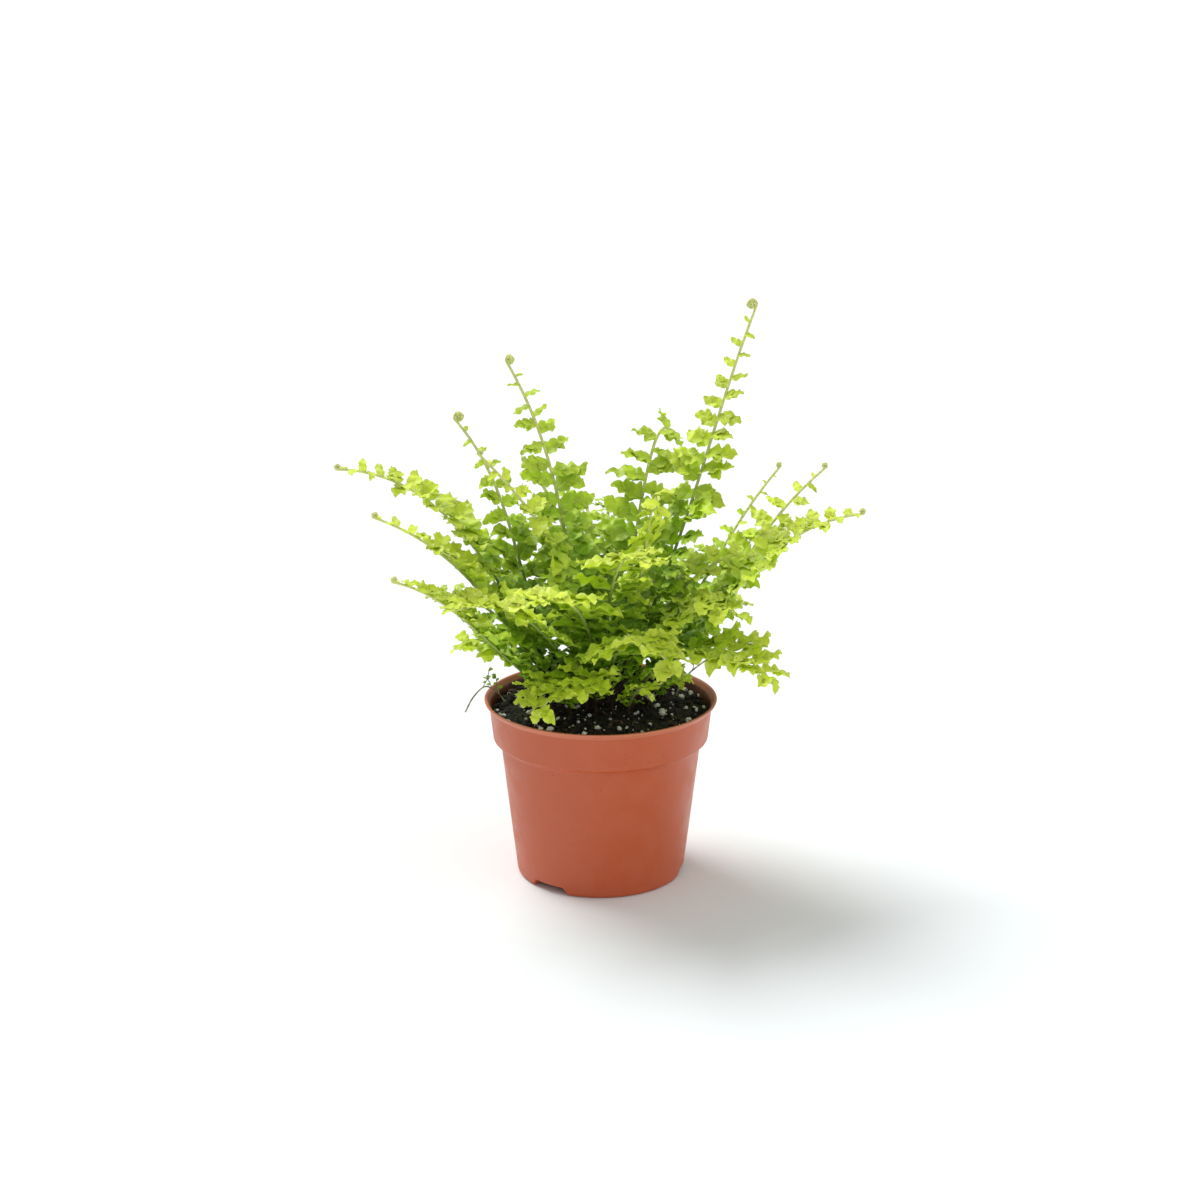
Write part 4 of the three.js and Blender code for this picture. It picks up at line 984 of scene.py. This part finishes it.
def make_pot(settings):
    """The pot: the rounded profile turned about the axis, a little out of round, with its foot raised at each
    notch by a soft trapezium of the distance round the foot. The raised part fades up to 5 mm inside and to
    9 mm outside, and keeps to the outer wall's slope."""
    each = CORNER_STEPS + 1
    profile = rounded(POT_OUTSIDE + POT_COLLAR + POT_INSIDE)
    wall = lerp(BODY_LOW, BODY_HIGH, BODY_RINGS[:, None])
    profile = np.vstack([profile[: 3 * each], wall, profile[3 * each :]])
    centres = np.radians(NOTCH_ANGLES)
    extra = [c + s * NOTCH_RAYS / FOOT_RADIUS for c in centres for s in (-1, 1)]
    angle = np.concatenate([np.linspace(0, 2 * np.pi, settings.sides, endpoint=False), *extra])
    angle = np.unique(np.round(angle % (2 * np.pi), 5))
    apart = np.abs((angle[:, None] - centres[None] + np.pi) % (2 * np.pi) - np.pi).min(axis=1)
    notch = NOTCH_HEIGHT * smooth(0, 1, (NOTCH_HALF - apart * FOOT_RADIUS) / NOTCH_SLOPE)
    r, z = profile[:, 0], profile[:, 1]
    inner_from = len(r) - len(POT_INSIDE) * each
    inside = np.arange(len(r)) >= inner_from
    weight = np.clip(1 - z / np.where(inside | ((r < 40.5) & (z > 0.5)), 5, 9), 0, 1)
    lifted = z[None] + notch[:, None] * weight[None]
    warp = settings.warp * (np.sin(2 * angle + 0.6) + 0.5 * np.sin(3 * angle + 2))
    radius = r[None] + (lifted - z[None]) * np.where(r > WALL_FROM, WALL_SLOPE, 0)[None]
    radius = radius + warp[:, None] * (z / POT_HEIGHT)[None]
    points = np.stack([radius * np.cos(angle)[:, None], radius * np.sin(angle)[:, None], lifted], axis=-1)
    quads = grid_quads(len(angle) + 1, len(r), wrapped=True)[:, [0, 3, 2, 1]] % (len(angle) * len(r))
    # The lip's outside is lighter. Soil marks and painted shade start at the lip's last corner and run down
    # inside.
    rim = (z > PALE_LIP_HEIGHT) & (r > PALE_LIP_RADIUS)
    dirt_and_shade = (np.arange(len(r)) >= inner_from - 3) & (z < POT_HEIGHT - 0.5)
    rows = lambda value: np.broadcast_to(value.astype(float), points.shape[:2])
    mesh = Mesh()
    mesh.add(points, quads, inner=rows(dirt_and_shade), worn=rows(rim))
    add_floor(mesh)
    return mesh.build("grower_pot", [pot_material(settings)], sharp=40)


def add_floor(mesh):
    """The floor plate: four quarter plates, each a ring from the rim of its drain hole to the plate's edge. A
    ray from the hole's middle meets that edge at one of the two axes or at the arc of the floor's radius."""
    spin = np.arange(DRAIN_STEPS) * 2 * np.pi / DRAIN_STEPS
    ray = np.stack([np.cos(spin), np.sin(spin)], axis=-1)
    hole = DRAIN_RING * np.array([np.cos(np.pi / 4), np.sin(np.pi / 4)])
    inward = ray < -1e-9
    to_axes = np.where(inward, -hole / np.where(inward, ray, -1), np.inf).min(axis=1)
    along = ray @ hole
    to_arc = -along + np.sqrt(along * along + FLOOR_RADIUS**2 - hole @ hole)
    rim, edge = hole + ray * DRAIN_RADIUS, hole + ray * np.minimum(to_axes, to_arc)[:, None]
    quads = (grid_quads(5, DRAIN_STEPS, wrapped=True) % (4 * DRAIN_STEPS))[:, ::-1]
    for quarter in range(4):
        c, s = np.cos(np.radians(90 * quarter)), np.sin(np.radians(90 * quarter))
        loops = ((edge, FLOOR_LOW), (rim, FLOOR_LOW), (rim, FLOOR_TOP), (edge, FLOOR_TOP))
        spun = [np.insert(loop @ np.array([[c, s], [-s, c]]), 2, height, axis=1) for loop, height in loops]
        mesh.add(np.stack(spun), quads, inner=0.0, worn=0.0)


# ---- soil


def make_soil(settings):
    """The potting mix: a lathe up the inside of the pot, closed by a clodded top of rings and rays."""
    angle = np.arange(SOIL_RAYS) * 2 * np.pi / SOIL_RAYS
    below = np.array(SOIL_SIDE)
    top = lerp(SOIL_TOP_OUTER, SOIL_TOP_INNER, np.linspace(0, 1, settings.rings))
    radius = np.concatenate([below[:, 0], top, [SOIL_TOP_END]])
    x, y = radius[:, None] * np.cos(angle), radius[:, None] * np.sin(angle)
    z = soil_relief(x, y)
    z[: len(below)] = below[:, 1:]
    mesh = Mesh()
    mesh.add(np.stack([x, y, z], axis=-1), tube_quads(len(radius), SOIL_RAYS))
    return mesh.build("potting_mix", [soil_material(settings)], sharp=70)


def scattered(count, seed, innermost=0.0, outermost=54.5):
    """Places spread evenly over the soil: the golden angle round, the root of a drawn number out."""
    number = np.arange(count) + seed
    angle = number * GOLDEN_ANGLE
    radius = lerp(innermost, outermost, np.sqrt(draw(number + 0.1)))
    x, y = radius * np.cos(angle), radius * np.sin(angle)
    return x, y, number


def make_grains(settings):
    """Loose crumbs, perlite grains and bark bits, each partly sunk in the soil's relief."""
    for kind in GRAINS:
        x, y, number = scattered(getattr(settings, kind.setting), kind.seed)
        size = lerp(*kind.sizes, draw(number + 0.4) ** 3.4)
        centres = np.stack([x, y, soil_relief(x, y) + size * kind.raised], axis=-1)
        mesh = Mesh()
        mesh.add(*blobs(centres, size, kind.stretch, kind.seed))
        skin = grit_material(kind.name, kind.dark, kind.light, 900.0, uneven=kind.uneven)
        yield mesh.build(kind.name, [skin], sharp=60)


def make_roots(settings):
    """Root threads: four steps each, whose heading turns a little, kept inside the pot and risen from the
    soil's relief in the middle."""
    mesh = Mesh()
    x, y, number = scattered(settings.roots, 9100, 20, 52)
    for k in range(settings.roots):
        heading = draw(number[k] + 0.2) * 2 * np.pi + np.array([0, 0.4, 0.9, 1.3])
        step = np.cumsum(np.stack([np.cos(heading), np.sin(heading)]), axis=1)
        step = step * lerp(1.2, 2.4, draw(number[k]))
        px, py = x[k] + step[0], y[k] + step[1]
        inside = np.minimum(1, 54 / np.hypot(px, py))
        px, py = px * inside, py * inside
        rise = np.array([-0.4, 0.5, 0.7, -0.3]) * lerp(0.6, 1.6, draw(number[k] + 0.7))
        *_, points = thread(np.stack([px, py, soil_relief(px, py) + rise], axis=-1), 0.16, 14)
        mesh.add(points, tube_quads(14, THREAD_SIDES))
    skin = grit_material("root_skin", (0.16, 0.10, 0.05), (0.45, 0.36, 0.22), 500.0, 0.7)
    return mesh.build("root_threads", [skin])


# ---- runners


def make_runner(name, places, number, settings, materials):
    """A thin dry runner past its places, with finer side threads and a few tiny leaflets on them."""
    x, y = places[0]
    top = float(soil_height(x, y))
    course = [(x, y, top - 4), (x, y, top + 1), *places[1:]]
    centre, _, side, _, points = thread(course, RUNNER_RADIUS, 48)
    mesh = Mesh()
    mesh.add(points, tube_quads(48, THREAD_SIDES), slot=1, age=0.6, tone=0.5)
    pick = np.array([5, 8, 11, 14, 16])
    hand = np.where(pick % 2 == 0, 1.0, -1.0)
    for k, (at, reach) in enumerate(TWIGS):
        start, reach = centre[at], np.array(reach)
        bend = start + reach * 0.5 + side[at] * (2 if k % 2 else -2)
        *frames, twig = thread([start, bend, start + reach], TWIG_RADIUS, 18)
        mesh.add(twig, tube_quads(18, THREAD_SIDES), slot=1, age=0.6, tone=0.5)
        seat, *frames = (field[pick] for field in frames)
        seed = number * 50.0 + k * 10 + np.arange(len(pick))
        directions = leaflet_frames(*frames, hand, seed, swings=(-6, 40), lifts=(-30, 30))
        size, width = lerp(1.8, 3.2, draw(seed)), lerp(1.2, 2.0, draw(seed + 0.3))
        blades = Blades(seat, *directions, hand, size, width, seed, np.full(len(pick), 0.5))
        add_blades(mesh, blades, settings)
    return mesh.build(name, materials)


# ---- stage


def make_stage(settings):
    """The studio: a wide pale floor, even white light all round, a soft sun from the left, a very wide one
    from the right, and the camera."""
    mesh = Mesh()
    corners = np.array([[-40, -20, 0], [40, -20, 0], [-40, 60, 0], [40, 60, 0]], dtype=float)
    mesh.add(corners / MM, np.array([[0, 1, 3, 2]]))
    material, tree, shader = new_material("studio_paper", Roughness=0.9, Specular_IOR_Level=0.0)
    mottle = use(tree, "mottle", Color=colour(settings.paper), Scale=3.0, Amount=0.01)
    feed(shader, {"Base Color": (mottle, "Color")})
    mesh.build("studio_floor", [material], sharp=80)

    world = bpy.data.worlds.new("studio_light")
    world.use_nodes = True
    tree = world.node_tree
    white = (1, 1, 1, 1)
    even = feed(tree.nodes["Background"], {"Color": white, "Strength": settings.sky})
    seen = node(tree, "ShaderNodeBackground", {"Color": white, "Strength": SEEN_WHITE})
    rays = node(tree, "ShaderNodeLightPath")
    mix = node(tree, "ShaderNodeMixShader", {0: (rays, "Is Camera Ray"), 1: (even, 0), 2: (seen, 0)})
    feed(tree.nodes["World Output"], {"Surface": (mix, 0)})
    bpy.context.scene.world = world

    for name, energy, width, tilt, heading in (
        ("soft_sun", settings.key, settings.key_width, settings.key_tilt, settings.key_heading),
        ("side_light", settings.side, *np.radians(SIDE_LIGHT)),
    ):
        lamp = bpy.data.lights.new(name, "SUN")
        lamp.angle, lamp.energy = width, energy
        holder = bpy.data.objects.new(name, lamp)
        holder.rotation_euler = (0, -tilt, heading)
        bpy.context.collection.objects.link(holder)

    view = bpy.data.cameras.new("camera")
    view.lens, view.sensor_width = settings.lens, SENSOR_WIDTH
    view.clip_start, view.clip_end = 0.05, 100.0
    camera = bpy.data.objects.new("camera", view)
    camera.location = (CAMERA_SIDE, -settings.camera_back, settings.camera_height)
    camera.rotation_euler = (settings.camera_pitch, 0, 0)
    bpy.context.collection.objects.link(camera)
    bpy.context.scene.camera = camera
    bpy.context.scene.view_settings.view_transform = "Standard"


# ---- add-on: operators


class FERN_OT_stage(Operator):
    """Set up the floor, the light and the camera"""

    bl_idname = "fern.stage"
    bl_label = "Stage"

    def execute(self, context):
        make_groups()
        make_stage(context.scene.fern_stage)
        return {"FINISHED"}


class FERN_OT_pot(Operator):
    """Build the grower's pot"""

    bl_idname = "fern.pot"
    bl_label = "Pot"

    def execute(self, context):
        make_groups()
        hand_in(make_pot(context.scene.fern_pot), "pot", "pot")
        return {"FINISHED"}


class FERN_OT_soil(Operator):
    """Build the potting mix with its loose grains, bark and roots"""

    bl_idname = "fern.soil"
    bl_label = "Soil"

    def execute(self, context):
        make_groups()
        settings = context.scene.fern_soil
        hand_in(make_soil(settings), "soil", "potting_soil")
        for piece in (*make_grains(settings), make_roots(settings)):
            hand_in(piece, "soil")
        return {"FINISHED"}


class FERN_OT_fronds(Operator):
    """Build every frond on its own course"""

    bl_idname = "fern.fronds"
    bl_label = "Fronds"

    def execute(self, context):
        make_groups()
        settings = context.scene.fern_fronds
        rib = rib_material("rib_skin", settings.rib_foot, settings.rib_middle, settings.rib_tip)
        bright = leaf_material("leaf_bright_blade", settings.young, settings.grown_and_shade)
        # The second leaf finish is a copy with painted shade, in darker, greener colours, for the fronds at
        # the back.
        painted_shade_leaf = leaf_material("leaf_painted_shade_blade", settings.shaded_young, settings.shaded_grown)
        for owner, frond in enumerate(FRONDS):
            # Fronds at the back take the leaf finish with painted shade; the others take the plain one.
            behind = 30 < frond.heading < 170
            piece = make_frond(frond, owner, settings, [painted_shade_leaf if behind else bright, rib])
            hand_in(piece, "leaf_deep" if behind else "leaf_bright", f"frond_{owner + 1:02d}")
        return {"FINISHED"}


class FERN_OT_runners(Operator):
    """Build the thin dry runners at the rim"""

    bl_idname = "fern.runners"
    bl_label = "Runners"

    def execute(self, context):
        make_groups()
        settings = context.scene.fern_fronds
        skin = grit_material("runner_skin", (0.24, 0.22, 0.12), (0.50, 0.47, 0.32), 700.0, 0.8, 0.0001)
        for number, (side, places) in enumerate(RUNNERS.items()):
            # The runners' tiny leaflets take the leaf finish with painted shade.
            leaf = bpy.data.materials["leaf_painted_shade_blade"]
            piece = make_runner(f"dry_runner_{side}", places, number, settings, [leaf, skin])
            hand_in(piece, "runner", f"runner_{side}")
        return {"FINISHED"}


class FERN_PT_panel(Panel):
    """The fern's sizes, colours and building steps"""

    bl_idname = "FERN_PT_panel"
    bl_label = "Potted fern"
    bl_space_type = "VIEW_3D"
    bl_region_type = "UI"
    bl_category = "Fern"

    def draw(self, context):
        for name, operator in (
            ("fern_pot", FERN_OT_pot),
            ("fern_soil", FERN_OT_soil),
            ("fern_fronds", FERN_OT_fronds),
            ("fern_fronds", FERN_OT_runners),
            ("fern_stage", FERN_OT_stage),
        ):
            box = self.layout.box()
            settings = getattr(context.scene, name)
            if operator is not FERN_OT_runners:
                for key in settings.__annotations__:
                    box.prop(settings, key)
            box.operator(operator.bl_idname)


SETTINGS = {
    "fern_pot": FernPotSettings,
    "fern_soil": FernSoilSettings,
    "fern_fronds": FernFrondSettings,
    "fern_stage": FernStageSettings,
}
CLASSES = (
    *SETTINGS.values(),
    FERN_OT_pot,
    FERN_OT_soil,
    FERN_OT_fronds,
    FERN_OT_runners,
    FERN_OT_stage,
    FERN_PT_panel,
)


def register():
    """Registers the classes and hangs the settings on the scene."""
    for cls in CLASSES:
        bpy.utils.register_class(cls)
    for name, cls in SETTINGS.items():
        setattr(bpy.types.Scene, name, PointerProperty(type=cls))


def unregister():
    """Takes the settings and the classes away again."""
    for name in SETTINGS:
        delattr(bpy.types.Scene, name)
    for cls in reversed(CLASSES):
        bpy.utils.unregister_class(cls)


def main():
    """Builds every piece in order."""
    register()
    bpy.ops.fern.stage()
    bpy.ops.fern.pot()
    bpy.ops.fern.soil()
    bpy.ops.fern.fronds()
    bpy.ops.fern.runners()


if __name__ == "__main__":
    main()
